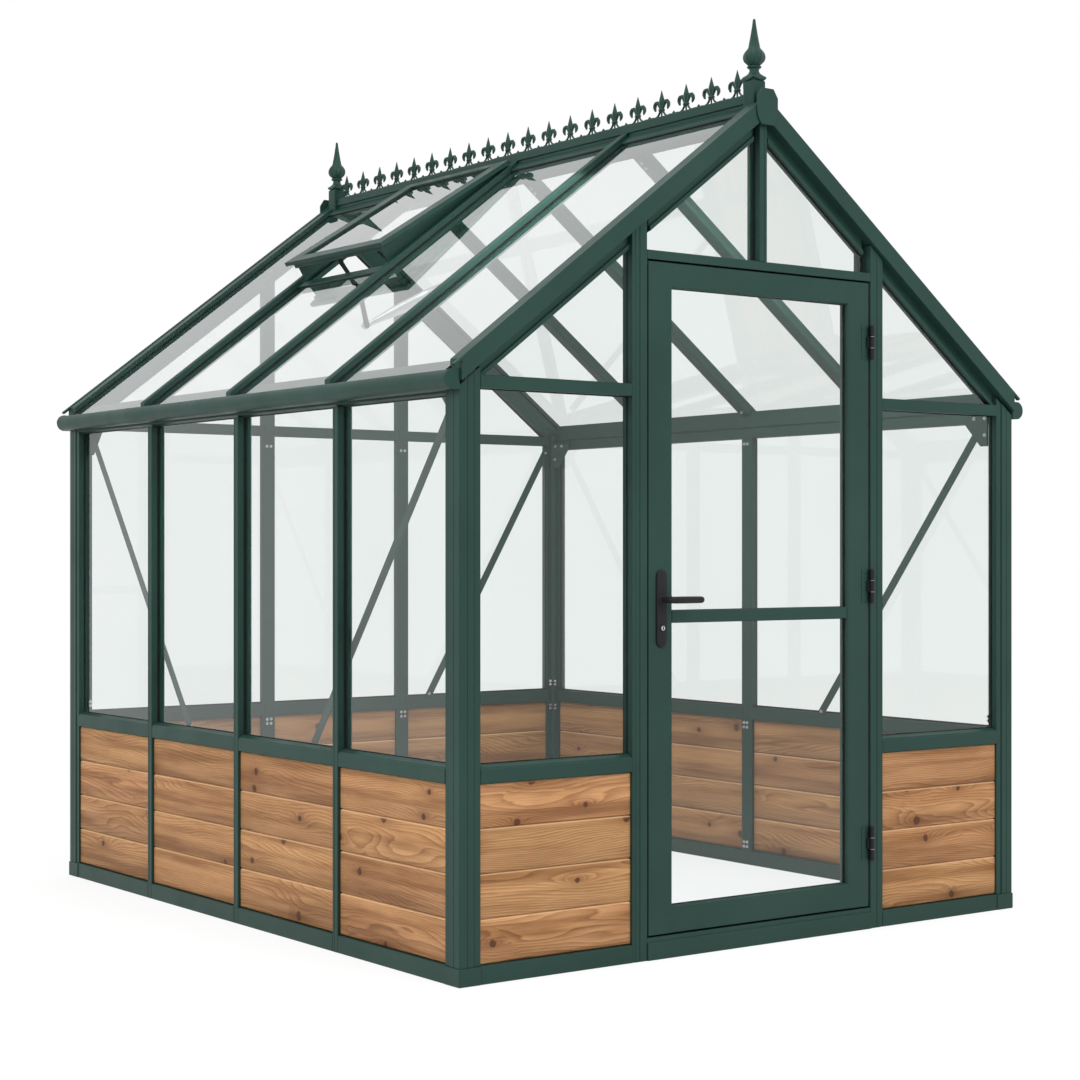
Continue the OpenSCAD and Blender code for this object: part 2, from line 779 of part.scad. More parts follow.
module vent_frame() {
    n0 = -vent_down - 2;
    n1 = vent_up - 2;
    wide = vent_y1 - vent_y0 + 2 * vent_over;
    color(green) on_vent() difference() {
        union() {
            translate([0, vent_y0, n0]) cube([vent_l, vent_y1 - vent_y0, n1 - n0]);
            // top that laps over the roof bars, and a drip edge beyond the free end
            translate([0, vent_y0 - vent_over, vent_lap]) cube([vent_l, wide, n1 - vent_lap]);
            translate([vent_l - 1, vent_y0 - vent_over, n1 - 14]) cube([13, wide, 14]);
            vent_cheek(post_y[1] + flange_w / 2 + 1);
            vent_cheek(post_y[2] - flange_w / 2 - 1 - cheek_t);
        }
        translate([vent_rail, vent_y0 + vent_rail, n0 - 1])
            cube([vent_l - 2 * vent_rail, vent_y1 - vent_y0 - 2 * vent_rail, n1 - n0 + 2]);
        translate([vent_rail - 9, vent_y0 + vent_rail - 9, n1 - 13])
            cube([vent_l - 2 * vent_rail + 18, vent_y1 - vent_y0 - 2 * vent_rail + 18, glass_t + 2]);
    }
}

module vent_glass() {
    n1 = vent_up - 2;
    color(clear) on_vent() translate([vent_rail - 8, vent_y0 + vent_rail - 8, n1 - 12])
        cube([vent_l - 2 * vent_rail + 16, vent_y1 - vent_y0 - 2 * vent_rail + 16, glass_t]);
}

// Bar across the bay under the vent's free edge; the pane below it starts in its slot
module vent_sill_bar() {
    y0 = post_y[1] + flange_w / 2 + joint;
    y1 = post_y[2] - flange_w / 2 - joint;
    color(green) on_slope(-1) translate([vent_sill_s, 0, 0]) {
        along_y(y0, y1)
            polygon([[-20, -roof_bar_n], [-20, -lip_n], [18, -lip_n],
                [18, -roof_glass_n + 1], [7, -roof_glass_n + 1], [7, -roof_glass_n - glass_t - 1],
                [18, -roof_glass_n - glass_t - 1], [18, -roof_bar_n]]);
    }
}

// The opener's knuckles, as distance from the middle and height
opener_sill = [478, 2141];
opener_low = [440, 1990];
opener_rail = [535, 2211];
opener_far = [108, 2150];

module vent_opener_arms() {
    color(dark) on_side(-1) {
        along_y(opener_y - 14, opener_y - 8) difference() {
            union() {
                strap(opener_sill, opener_low, 22);
                translate(opener_sill) circle(15, $fn = fine);
                translate(opener_low) circle(15, $fn = fine);
            }
            translate(opener_sill) circle(4, $fn = fine);
        }
        along_y(opener_y + 8, opener_y + 14) difference() {
            union() {
                strap(opener_sill, opener_rail, 20);
                translate(opener_sill) circle(14, $fn = fine);
                translate(opener_rail) circle(11, $fn = fine);
            }
            translate(opener_sill) circle(4, $fn = fine);
        }
    }
}

module vent_opener_cylinder() {
    run = opener_far - opener_low;
    color(steel) on_side(-1) translate([opener_low[0], opener_y, opener_low[1]])
        rotate([0, 90 - atan2(run[1], run[0]), 0]) {
            translate([0, 0, 18]) cylinder(h = norm(run) - 18, r = 16, $fn = fine);
            cylinder(h = 20, r = 7, $fn = fine);
        }
}

// ---- braces ----

brace_w = 30;
brace_t = 4;
brace_top = eaves_low - 4;
brace_low = sill_top - 4;
brace_run = 780;              // level distance that a side brace covers
brace_y = column_edge + 14;   // top end of a brace, from the gable's face

module side_brace() {
    translate([half_w - wall_d - joint - brace_t, 0, 0]) along_x(0, brace_t)
        strap([front_y + brace_y, brace_top], [front_y + brace_y + brace_run, brace_low], brace_w);
}

module wind_braces() {
    color(green) {
        on_side(-1) side_brace();
        on_side(-1) at_back() side_brace();
        on_side(1) side_brace();
        at_back() along_y(front_y + wall_d + joint, front_y + wall_d + joint + brace_t)
            strap([half_w - brace_y, brace_top],
                [half_w - brace_y - (brace_top - brace_low) / 1.7, brace_low], brace_w);
    }
}

// Plates that tie each column to the eaves beam, inside the wall
module corner_gusset() {
    x = half_w - wall_d - brace_t - 2 * joint;
    y0 = front_y + column_w + 8;
    translate([x - 3, 0, 0]) along_x(0, 3)
        polygon([[y0, eaves_low + 30], [y0 + 105, eaves_low + 30], [y0 + 105, eaves_low],
            [y0 + 34, eaves_low - 78], [y0, eaves_low - 78]]);
}

module corner_gussets() {
    color(green) for (side = [-1, 1]) on_side(side) {
        corner_gusset();
        at_back() corner_gusset();
    }
}

// ---- door ----

knuckle = (hinge_l - 2) / 3;

// Outer knuckles, pin and jamb plate of each hinge
module hinges_frame_side() {
    plate = 1.5;
    plate_l = 36;
    color(dark) for (z = hinge_z) translate([hinge_x, hinge_y, z - hinge_l / 2]) {
        cylinder(h = hinge_l, r = 3, $fn = fine);
        for (k = [0, 2 * (knuckle + 1)]) translate([0, 0, k]) {
            cylinder(h = knuckle, r = hinge_r, $fn = fine);
            translate([post_in - joint - plate - hinge_x, 0, 0]) cube([plate, plate_l, knuckle]);
        }
    }
}

// Middle knuckle and face plate of each hinge
module hinges_leaf_side() {
    face = leaf_depth - (hinge_y - front_y);   // from the hinge's axis back to the leaf
    color(dark) for (z = hinge_z) translate([hinge_x, hinge_y, z - hinge_l / 2])
        difference() {
            union() {
                translate([0, 0, knuckle + 1]) cylinder(h = knuckle, r = hinge_r, $fn = fine);
                translate([-26, face - 3, 0]) cube([13, 3, hinge_l]);
                translate([-15, 4, knuckle + 1]) cube([11, face - 4, knuckle]);
            }
            translate([0, 0, -1]) cylinder(h = hinge_l + 2, r = 3.1, $fn = fine);
        }
}

leaf_y = front_y + leaf_depth;
leaf_glass = 14;               // depth of the door's glass in the leaf
door_glass_y = leaf_y + leaf_glass;

// Outline of a door member seen from its end: leaf depth against distance from its outer edge,
// with a slot for the glass
module leaf_member(width) {
    polygon([
        [1, 0], [0, 1], [0, leaf_t - 1], [1, leaf_t], [width - 4, leaf_t], [width - 1, leaf_t - 6],
        [width - 1, leaf_glass + glass_t + 1], [width - 9, leaf_glass + glass_t + 1],
        [width - 9, leaf_glass - 1], [width - 1, leaf_glass - 1], [width - 1, 6], [width - 5, 0]
    ]);
}

module door_stiles() {
    color(green) difference() {
        for (side = [-1, 1]) on_side(side) translate([leaf_edge, leaf_y, leaf_low])
            linear_extrude(leaf_top - leaf_low) mirror([1, 0]) leaf_member(stile_w + 1);
        // way through for the lever's spindle and the lock
        for (z = [lever_z, lock_z])
            translate([handle_x, leaf_y - 1, z]) rotate([-90, 0, 0])
                cylinder(h = leaf_t + 2, r = z == lever_z ? 8 : 9.5, $fn = fine);
    }
}

rail_x = leaf_edge - stile_w - joint;

module door_rails() {
    color(green) {
        translate([0, leaf_y, leaf_low]) along_x(-rail_x, rail_x)
            mirror([1, -1]) leaf_member(bottom_rail_h + 1);
        translate([0, leaf_y, leaf_top]) mirror([0, 0, 1]) along_x(-rail_x, rail_x)
            mirror([1, -1]) leaf_member(top_rail_h + 1);
    }
}

module door_mid_bar() {
    z0 = mid_bar_z;
    z1 = mid_bar_z + mid_bar_h;
    g0 = leaf_glass - 1;
    g1 = leaf_glass + glass_t + 1;
    color(green) translate([0, leaf_y, 0]) along_x(-rail_x, rail_x)
        polygon([
            [3, z0 + 1], [3, z1 - 1], [5, z1], [g0, z1], [g0, z1 - 8], [g1, z1 - 8], [g1, z1],
            [leaf_t - 6, z1], [leaf_t - 6, z0], [g1, z0], [g1, z0 + 8], [g0, z0 + 8], [g0, z0], [5, z0]
        ]);
}

module door_glass() {
    x = leaf_edge - stile_w + 7;
    z0 = leaf_low + bottom_rail_h - 7;
    z3 = leaf_top - top_rail_h + 7;
    color(clear) {
        translate([-x, door_glass_y, z0]) cube([2 * x, glass_t, mid_bar_z + 7 - z0]);
        translate([-x, door_glass_y, mid_bar_z + mid_bar_h - 7])
            cube([2 * x, glass_t, z3 - mid_bar_z - mid_bar_h + 7]);
    }
}

plate_low = lever_z - 140;
plate_t = 8;

module handle_plate_outline() {
    r = plate_w / 2;
    translate([handle_x, plate_low + r]) circle(r, $fn = fine);
    translate([handle_x, plate_low + plate_h - r]) circle(r, $fn = fine);
    translate([handle_x - r, plate_low + r]) square([plate_w, plate_h - plate_w]);
}

module handle_plates() {
    color(dark) for (y = [leaf_y - plate_t, leaf_y + leaf_t])
        along_y(y, y + plate_t) difference() {
            handle_plate_outline();
            translate([handle_x, lever_z]) circle(12.5, $fn = fine);
            translate([handle_x, lock_z]) circle(9, $fn = fine);
        }
}

module lock_cylinder() {
    color(steel) translate([handle_x, leaf_y - plate_t - 2, lock_z]) rotate([-90, 0, 0])
        cylinder(h = leaf_t + 2 * plate_t + 4, r = 8.6, $fn = fine);
}

// Both lever arms on one spindle through the leaf
module door_lever() {
    y0 = leaf_y - lever_out;
    y1 = leaf_y + leaf_t + lever_out;
    r = lever_d / 2;
    color(dark) {
        translate([handle_x, y0, lever_z]) rotate([-90, 0, 0]) cylinder(h = y1 - y0, r = 5, $fn = fine);
        for (y = [y0, y1]) {
            inward = y == y0 ? 1 : -1;
            translate([handle_x, y, lever_z]) {
                // neck, which runs on past the arm's middle
                rotate([-90 * inward, 0, 0]) translate([0, 0, -lever_proud])
                    cylinder(h = lever_out - 5 + lever_proud, r = lever_neck_r, $fn = fine);
                // arm with an eased end
                rotate([0, 90, 0]) rotate_extrude($fn = fine)
                    polygon([[0, 0], [r, 0], [r, lever_l - 4], [r - 1.5, lever_l - 1.2], [r - 5, lever_l],
                        [0, lever_l]]);
            }
        }
    }
}

// ---- assembly ----

base_rails();
base_corner_caps();
door_threshold();
corner_columns();
side_posts();
door_posts();
back_posts();
sill_rails();
side_board_panels();
gable_board_panels();
side_glass();
gable_glass();
eaves_beams();
gutter_left();
gutter_right();
gutter_end_caps();
gable_eaves_bars();
door_transom();
gable_mullion();
bargeboards();
gable_rafters();
roof_bars_left();
roof_bars_right();
roof_glass();
ridge_beam();
ridge_cresting();
finials();
apex_plates();
vent_frame();
vent_glass();
vent_sill_bar();
vent_opener_arms();
vent_opener_cylinder();
wind_braces();
corner_gussets();
hinges_frame_side();
door_stiles();
door_rails();
door_mid_bar();
door_glass();
hinges_leaf_side();
handle_plates();
lock_cylinder();
door_lever();
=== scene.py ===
# %% [markdown]
# A small walk-in greenhouse: a green aluminium frame, glass above, boards below, a row of cast
# fleurs along the ridge, and one hinged door. The measured frame comes in first and stays where
# it is. Every piece made here goes around it, and moves with one of its three bodies: the frame,
# the door or the lever.

# %% Load the measured frame
import json
import math

import bmesh
import bpy
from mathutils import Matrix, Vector


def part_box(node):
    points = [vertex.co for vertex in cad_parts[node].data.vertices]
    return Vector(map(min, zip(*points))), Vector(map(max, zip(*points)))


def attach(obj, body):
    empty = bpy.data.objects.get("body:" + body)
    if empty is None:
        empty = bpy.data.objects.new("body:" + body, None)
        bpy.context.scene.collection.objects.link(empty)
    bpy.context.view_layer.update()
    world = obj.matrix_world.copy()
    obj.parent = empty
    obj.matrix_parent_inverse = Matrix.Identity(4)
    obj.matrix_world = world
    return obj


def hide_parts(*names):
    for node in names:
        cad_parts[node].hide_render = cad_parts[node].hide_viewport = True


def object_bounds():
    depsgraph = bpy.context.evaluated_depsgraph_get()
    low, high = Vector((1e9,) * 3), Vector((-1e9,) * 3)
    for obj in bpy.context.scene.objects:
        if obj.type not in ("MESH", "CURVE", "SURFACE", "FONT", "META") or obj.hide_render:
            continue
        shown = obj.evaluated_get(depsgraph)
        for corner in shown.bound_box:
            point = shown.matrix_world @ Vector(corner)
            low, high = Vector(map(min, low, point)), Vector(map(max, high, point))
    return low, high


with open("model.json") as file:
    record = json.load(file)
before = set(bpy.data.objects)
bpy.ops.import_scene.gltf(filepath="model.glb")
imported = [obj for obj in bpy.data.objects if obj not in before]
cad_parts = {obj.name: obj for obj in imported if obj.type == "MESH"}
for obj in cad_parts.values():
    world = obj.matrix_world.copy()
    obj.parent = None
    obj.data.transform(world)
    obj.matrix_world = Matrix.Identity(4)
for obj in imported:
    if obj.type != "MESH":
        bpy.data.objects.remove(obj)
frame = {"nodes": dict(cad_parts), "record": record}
cad_box = [list(corner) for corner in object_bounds()]
scene = bpy.context.scene
slots = {row["node"]: row["material_slot"] for row in frame["record"]["subparts"]}
bodies = {node: body for body, nodes in frame["record"]["behaviour"]["bodies"].items() for node in nodes}
print("frame box", [[round(v, 3) for v in corner] for corner in cad_box])

# %% [markdown]
# The building is looked at from beside the hinge-free end of the door, level, from a little over
# seven metres away. Upright edges stay upright because the camera isn't tilted, and a small
# vertical shift brings the ridge into the picture instead.

# %% Camera
camera_data = bpy.data.cameras.new("camera")
camera_data.sensor_width = 36
camera_data.lens = 71.65
camera_data.shift_y = 0.0101
camera = bpy.data.objects.new("camera", camera_data)
camera.location = (-4.4289, -6.1309, 1.1977)
camera.rotation_euler = (math.radians(90), 0, math.radians(-36.3374))
scene.collection.objects.link(camera)
scene.camera = camera

# %% [markdown]
# Finishes and meshes both come from node trees, so one helper adds a node to any tree. A plug is
# a pair: the socket, and either a plain value or another node's socket to join to it.

# %% A helper that adds a node to a tree
def add(tree, kind, *plugs, **settings):
    node = tree.nodes.new(kind)
    for key, value in settings.items():
        setattr(node, key, value)
    for socket, value in plugs:
        if isinstance(value, bpy.types.NodeSocket):
            tree.links.new(value, node.inputs[socket])
        else:
            node.inputs[socket].default_value = value
    return node


def maths(tree, operation, first, second=0.0, third=0.0):
    return add(tree, "ShaderNodeMath", (0, first), (1, second), (2, third), operation=operation).outputs[0]


def ramp(tree, source, stops, blend="LINEAR"):
    """A colour ramp; stops are (place, (r, g, b)) pairs."""
    node = add(tree, "ShaderNodeValToRGB", ("Fac", source))
    node.color_ramp.interpolation = blend
    while len(node.color_ramp.elements) < len(stops):
        node.color_ramp.elements.new(0.5)
    for element, (place, colour) in zip(node.color_ramp.elements, stops):
        element.position = place
        element.color = (*colour, 1)
    return node.outputs["Color"]


def noise(tree, where, scale, detail=2.0, roughness=0.5):
    return add(tree, "ShaderNodeTexNoise", ("Vector", where), ("Scale", scale), ("Detail", detail),
               ("Roughness", roughness)).outputs["Fac"]


def stretched(tree, where, scale, offset=(0, 0, 0)):
    return add(tree, "ShaderNodeMapping", ("Vector", where), ("Scale", scale),
               ("Location", offset)).outputs["Vector"]

# %% [markdown]
# The frame is powder coated: dry powder baked on to aluminium until it flows into a skin. It could
# be one flat green, but a real coat has a fine orange-peel skin that breaks up its highlights, a
# sheen that drifts a little along a bar, and a breath of pale dust. All of it is slight, because
# the frame is new. The black door furniture is coated in the same way, only finer and duller.

# %% Coated metal
def coated(name, colour, roughness, peel, dust):
    """A powder coat: colour that drifts a little, an uneven sheen and an orange-peel skin."""
    material = bpy.data.materials.new(name)
    material.use_nodes = True
    tree = material.node_tree
    skin = tree.nodes["Principled BSDF"]
    where = add(tree, "ShaderNodeTexCoord").outputs["Object"]
    drift = noise(tree, where, 2.6, 3)
    darker = tuple(0.90 * c for c in colour)
    paler = tuple(1.10 * c + dust for c in colour)
    tone = ramp(tree, drift, [(0.32, darker), (0.70, paler)])
    speck = noise(tree, where, 260, 2, 0.6)
    tone = add(tree, "ShaderNodeMixRGB", ("Fac", maths(tree, "MULTIPLY", speck, 0.14)), ("Color1", tone),
               ("Color2", (*[1.6 * c + dust for c in colour], 1)), blend_type="MIX").outputs[0]
    sheen = add(tree, "ShaderNodeMapRange", ("Value", noise(tree, where, 9, 3)), ("From Min", 0.3),
                ("From Max", 0.7), ("To Min", roughness - 0.05), ("To Max", roughness + 0.06))
    bump = add(tree, "ShaderNodeBump", ("Strength", peel), ("Distance", 0.0004),
               ("Height", noise(tree, where, 620, 1.5)))
    tree.links.new(tone, skin.inputs["Base Color"])
    tree.links.new(sheen.outputs[0], skin.inputs["Roughness"])
    tree.links.new(bump.outputs[0], skin.inputs["Normal"])
    skin.inputs["Specular IOR Level"].default_value = 0.20
    return material


finishes = {
    "green_powder_coat": coated("green powder coat", (0.0110, 0.0345, 0.0270), 0.42, 0.22, 0.0014),
    "black_hardware": coated("black hardware", (0.0085, 0.0085, 0.0095), 0.44, 0.30, 0.0012),
}
print("coats:", list(finishes))

# %% [markdown]
# Horticultural glass is flat, clear and 4 mm thick. It could be made as real bending glass, but
# through a flat pane that only adds noise and shuts the sun out of the house. Here each pane lets
# light straight through, and mirrors as much as the angle asks for: little when looked at square
# on, a lot when looked along, which is why the roof looks milky. Both faces of a pane mirror, so
# the front face carries the share of both and the back face none. Two powers bend that share, so
# that a pane is clearer face on and milkier along it, as glass with a light film on it is.

# %% Clear glass
def clear_glass(name):
    material = bpy.data.materials.new(name)
    material.use_nodes = True
    tree = material.node_tree
    tree.nodes.remove(tree.nodes["Principled BSDF"])
    end = tree.nodes["Material Output"]
    where = add(tree, "ShaderNodeTexCoord").outputs["Object"]
    wave = add(tree, "ShaderNodeBump", ("Strength", 0.05), ("Distance", 0.0006),
               ("Height", noise(tree, where, 2.2, 1)))
    once = add(tree, "ShaderNodeFresnel", ("IOR", 1.52)).outputs[0]
    both = maths(tree, "DIVIDE", maths(tree, "MULTIPLY", once, 2.0), maths(tree, "ADD", once, 1.0))
    both = maths(tree, "POWER", both, 1.35)
    kept = maths(tree, "POWER", maths(tree, "SUBTRACT", 1.0, both), 1.3)
    seen = add(tree, "ShaderNodeNewGeometry").outputs["Backfacing"]
    share = maths(tree, "MULTIPLY", maths(tree, "SUBTRACT", 1.0, kept), maths(tree, "SUBTRACT", 1.0, seen))
    tint = ramp(tree, noise(tree, where, 1.1, 2), [(0.3, (0.940, 0.955, 0.948)), (0.7, (0.955, 0.968, 0.962))])
    through = add(tree, "ShaderNodeBsdfTransparent", ("Color", tint))
    film = maths(tree, "MULTIPLY_ADD", noise(tree, where, 5.0, 3), 0.03, 0.005)
    mirror = add(tree, "ShaderNodeBsdfGlossy", ("Color", (0.93, 0.94, 0.945, 1)), ("Roughness", film),
                 ("Normal", wave.outputs[0]))
    both_ways = add(tree, "ShaderNodeMixShader", (0, share), (1, through.outputs[0]), (2, mirror.outputs[0]))
    tree.links.new(both_ways.outputs[0], end.inputs["Surface"])
    return material


finishes["clear_glass"] = clear_glass("clear glass")

# %% [markdown]
# The infill boards are an oiled softwood with knots. Cut near the middle of a log they show fine
# lines that run straight along the board; cut further out, the lines open into long arches. Both
# come from one field that is cut into rings: a part that rises evenly across the board, in a
# share that differs from board to board, and a slow wander stretched along it. Knots are scattered
# points of 7 to 14 mm. Around each one the field is lifted, so that the lines swing past it, and
# the wood beside it is darker. Each board reads its own place in one large log.

# %% Knotty timber
def timber(name):
    material = bpy.data.materials.new(name)
    material.use_nodes = True
    tree = material.node_tree
    wood = tree.nodes["Principled BSDF"]
    where = add(tree, "ShaderNodeAttribute", attribute_name="grain").outputs["Vector"]
    board = add(tree, "ShaderNodeAttribute", attribute_name="board").outputs["Vector"]
    own = add(tree, "ShaderNodeSeparateXYZ", ("Vector", board)).outputs
    height = add(tree, "ShaderNodeSeparateXYZ", ("Vector", where)).outputs[1]

    # knots: scattered points, of which about half carry one; distances are in metres
    cells = add(tree, "ShaderNodeTexVoronoi", ("Vector", stretched(tree, where, (3.4, 9.0, 0.0))), ("Scale", 1.0),
                ("Randomness", 0.95), voronoi_dimensions="2D")
    heart_at = stretched(tree, cells.outputs["Position"], (1 / 3.4, 1 / 9.0, 0.0))
    wander = add(tree, "ShaderNodeTexNoise", ("Vector", stretched(tree, where, (45, 45, 0))), ("Scale", 1.0),
                 ("Detail", 2.0)).outputs["Color"]
    flat = add(tree, "ShaderNodeVectorMath", (0, stretched(tree, where, (1, 1, 0))), (1, heart_at),
               operation="SUBTRACT").outputs[0]
    apart = add(tree, "ShaderNodeVectorMath", (0, wander), (1, (0.007, 0.007, 0.0)), (2, flat),
                operation="MULTIPLY_ADD").outputs[0]
    apart = stretched(tree, apart, (1, 1, 0), (-0.0035, -0.0035, 0))
    luck = add(tree, "ShaderNodeSeparateXYZ", ("Vector", cells.outputs["Color"])).outputs[0]
    has_knot = maths(tree, "GREATER_THAN", luck, 0.45)
    size = add(tree, "ShaderNodeMapRange", ("Value", luck), ("From Min", 0.45), ("To Min", 0.0070),
               ("To Max", 0.0150)).outputs[0]
    away = maths(tree, "DIVIDE", add(tree, "ShaderNodeVectorMath", (0, apart), operation="LENGTH").outputs["Value"],
                 size)
    drawn = add(tree, "ShaderNodeVectorMath", (0, stretched(tree, apart, (0.30, 1.0, 0.0))),
                operation="LENGTH").outputs["Value"]
    near = maths(tree, "POWER", 2.718, maths(tree, "MULTIPLY", maths(tree, "DIVIDE", drawn, size), -0.75))
    near = maths(tree, "MULTIPLY", has_knot, near)
    heart = add(tree, "ShaderNodeMapRange", ("Value", away), ("From Min", 1.2), ("From Max", 0.8),
                ("To Min", 0.0), ("To Max", 1.0), interpolation_type="SMOOTHSTEP").outputs[0]
    heart = maths(tree, "MULTIPLY", heart, has_knot)

    # rings: an even rise across the board and a slow wander, lifted near knots, cut into bands
    slow = noise(tree, stretched(tree, where, (0.9, 5.0, 5.0)), 1.0, 2.2, 0.45)
    ripple = noise(tree, stretched(tree, where, (9, 60, 60)), 1.0, 2)
    even = maths(tree, "MULTIPLY", height, maths(tree, "MULTIPLY_ADD", own[2], 110.0, 60.0))
    field = maths(tree, "MULTIPLY_ADD", slow, 34.0, maths(tree, "MULTIPLY_ADD", near, 5.0, even))
    field = maths(tree, "MULTIPLY_ADD", ripple, 0.6, field)
    ring = maths(tree, "FRACT", field)
    fibre = noise(tree, stretched(tree, where, (14, 950, 950)), 1.0, 3, 0.6)
    mottle = noise(tree, stretched(tree, where, (3.5, 12, 12)), 1.0, 3)

    early = (0.475, 0.256, 0.112)
    late = (0.200, 0.083, 0.031)
    grain = ramp(tree, ring, [(0.0, early), (0.55, (0.352, 0.180, 0.079)), (0.86, late), (0.97, early)])
    tone = add(tree, "ShaderNodeMixRGB", ("Fac", 0.38), ("Color1", grain),
               ("Color2", ramp(tree, mottle, [(0.3, (0.265, 0.125, 0.052)), (0.7, (0.440, 0.242, 0.116))])),
               blend_type="MIX").outputs[0]
    streak = noise(tree, stretched(tree, where, (1.3, 26, 26), (4, 9, 2)), 1.0, 3, 0.55)
    tone = add(tree, "ShaderNodeMixRGB", ("Fac", 0.85), ("Color1", tone),
               ("Color2", ramp(tree, streak, [(0.36, (0.58, 0.50, 0.44)), (0.54, (1.0, 1.0, 1.0)),
                                              (0.72, (1.16, 1.18, 1.20))])), blend_type="MULTIPLY").outputs[0]
    tone = add(tree, "ShaderNodeMixRGB", ("Fac", 0.55), ("Color1", tone),
               ("Color2", ramp(tree, fibre, [(0.34, (0.55, 0.50, 0.46)), (0.62, (1.0, 1.0, 1.0))])),
               blend_type="MULTIPLY").outputs[0]
    tone = add(tree, "ShaderNodeMixRGB", ("Fac", maths(tree, "MULTIPLY", near, 0.80)), ("Color1", tone),
               ("Color2", (0.130, 0.048, 0.018, 1)), blend_type="MIX").outputs[0]
    whorl = maths(tree, "FRACT", maths(tree, "MULTIPLY_ADD", away, 3.2, maths(tree, "MULTIPLY", ripple, 1.5)))
    knot = ramp(tree, whorl, [(0.0, (0.050, 0.019, 0.009)), (0.6, (0.105, 0.040, 0.017)), (1.0, (0.040, 0.016, 0.008))])
    tone = add(tree, "ShaderNodeMixRGB", ("Fac", heart), ("Color1", tone), ("Color2", knot)).outputs[0]
    value = add(tree, "ShaderNodeMapRange", ("Value", own[0]), ("To Min", 0.88), ("To Max", 1.14)).outputs[0]
    hue = add(tree, "ShaderNodeMapRange", ("Value", own[1]), ("To Min", 0.498), ("To Max", 0.504)).outputs[0]
    tone = add(tree, "ShaderNodeHueSaturation", ("Hue", hue), ("Saturation", 1.0), ("Value", value),
               ("Color", tone)).outputs[0]
    # the chamfer that faces upwards is painted paler: a painted highlight for the light from above
    facing = add(tree, "ShaderNodeSeparateXYZ", ("Vector", add(tree, "ShaderNodeNewGeometry").outputs["Normal"])).outputs[2]
    painted_top_highlight = add(tree, "ShaderNodeMapRange", ("Value", facing), ("From Min", 0.35), ("From Max", 0.6),
                 ("To Min", 0.0), ("To Max", 0.60)).outputs[0]
    tone = add(tree, "ShaderNodeMixRGB", ("Fac", painted_top_highlight), ("Color1", tone), ("Color2", (0.70, 0.45, 0.25, 1))).outputs[0]
    tree.links.new(tone, wood.inputs["Base Color"])

    dull = add(tree, "ShaderNodeMapRange", ("Value", ring), ("To Min", 0.62), ("To Max", 0.50)).outputs[0]
    tree.links.new(dull, wood.inputs["Roughness"])
    relief = maths(tree, "MULTIPLY_ADD", fibre, 0.5, maths(tree, "MULTIPLY", ring, 0.5))
    relief = maths(tree, "MULTIPLY_ADD", heart, 0.8, relief)
    bump = add(tree, "ShaderNodeBump", ("Strength", 0.35), ("Distance", 0.0006), ("Height", relief))
    tree.links.new(bump.outputs[0], wood.inputs["Normal"])
    wood.inputs["Specular IOR Level"].default_value = 0.18
    return material


finishes["knotty_timber"] = timber("knotty timber")

# %% [markdown]
# Three small finishes remain. Bolts are zinc plated, with a faint spangle. The vent's opener is a
# drawn aluminium tube, brushed along its length. Glazing rubber is black, soft and a little dusty.

# %% Bare metal and rubber
def bare_metal(name, colour, roughness, brushed):
    material = bpy.data.materials.new(name)
    material.use_nodes = True
    tree = material.node_tree
    skin = tree.nodes["Principled BSDF"]
    skin.inputs["Metallic"].default_value = 1.0
    where = add(tree, "ShaderNodeTexCoord").outputs["Object"]
    spangle = noise(tree, stretched(tree, where, brushed), 1.0, 3, 0.6)
    tone = ramp(tree, spangle, [(0.3, tuple(0.82 * c for c in colour)), (0.7, colour)])
    rough = add(tree, "ShaderNodeMapRange", ("Value", spangle), ("From Min", 0.3), ("From Max", 0.7),
                ("To Min", roughness - 0.08), ("To Max", roughness + 0.10)).outputs[0]
    bump = add(tree, "ShaderNodeBump", ("Strength", 0.15), ("Distance", 0.0002), ("Height", spangle))
    tree.links.new(tone, skin.inputs["Base Color"])
    tree.links.new(rough, skin.inputs["Roughness"])
    tree.links.new(bump.outputs[0], skin.inputs["Normal"])
    return material


def rubber(name):
    material = bpy.data.materials.new(name)
    material.use_nodes = True
    tree = material.node_tree
    skin = tree.nodes["Principled BSDF"]
    where = add(tree, "ShaderNodeTexCoord").outputs["Object"]
    dusty = noise(tree, where, 30, 4, 0.6)
    tree.links.new(ramp(tree, dusty, [(0.35, (0.006, 0.006, 0.006)), (0.75, (0.017, 0.017, 0.016))]),
                   skin.inputs["Base Color"])
    rough = add(tree, "ShaderNodeMapRange", ("Value", dusty), ("To Min", 0.62), ("To Max", 0.85)).outputs[0]
    tree.links.new(rough, skin.inputs["Roughness"])
    bump = add(tree, "ShaderNodeBump", ("Strength", 0.2), ("Distance", 0.0003), ("Height", noise(tree, where, 900)))
    tree.links.new(bump.outputs[0], skin.inputs["Normal"])
    skin.inputs["Specular IOR Level"].default_value = 0.2
    return material


finishes["opener_aluminium"] = bare_metal("opener aluminium", (0.80, 0.81, 0.82), 0.34, (60, 900, 60))
finishes["plated_steel"] = bare_metal("plated steel", (0.70, 0.70, 0.71), 0.30, (300, 300, 300))
finishes["black_rubber"] = rubber("black rubber")
print("finishes:", sorted(finishes))

# %% [markdown]
# Every node of the measured frame takes the finish that the record names for it. Most of them are
# replaced below by pieces with eased edges, and the panes of glass stay as they are.

# %% Finishes on the measured nodes
for node, obj in frame["nodes"].items():
    for index in range(len(obj.data.materials)):
        obj.data.materials[index] = finishes[slots[node]]
    if not obj.data.materials:
        obj.data.materials.append(finishes[slots[node]])

# %% [markdown]
# Each finished mesh becomes a piece in one place: it is linked, given the finish of its slot if it
# has none, the measured nodes that it stands for are hidden, and it is set to ride on a body.

# %% Turning a mesh into a piece
pieces = []


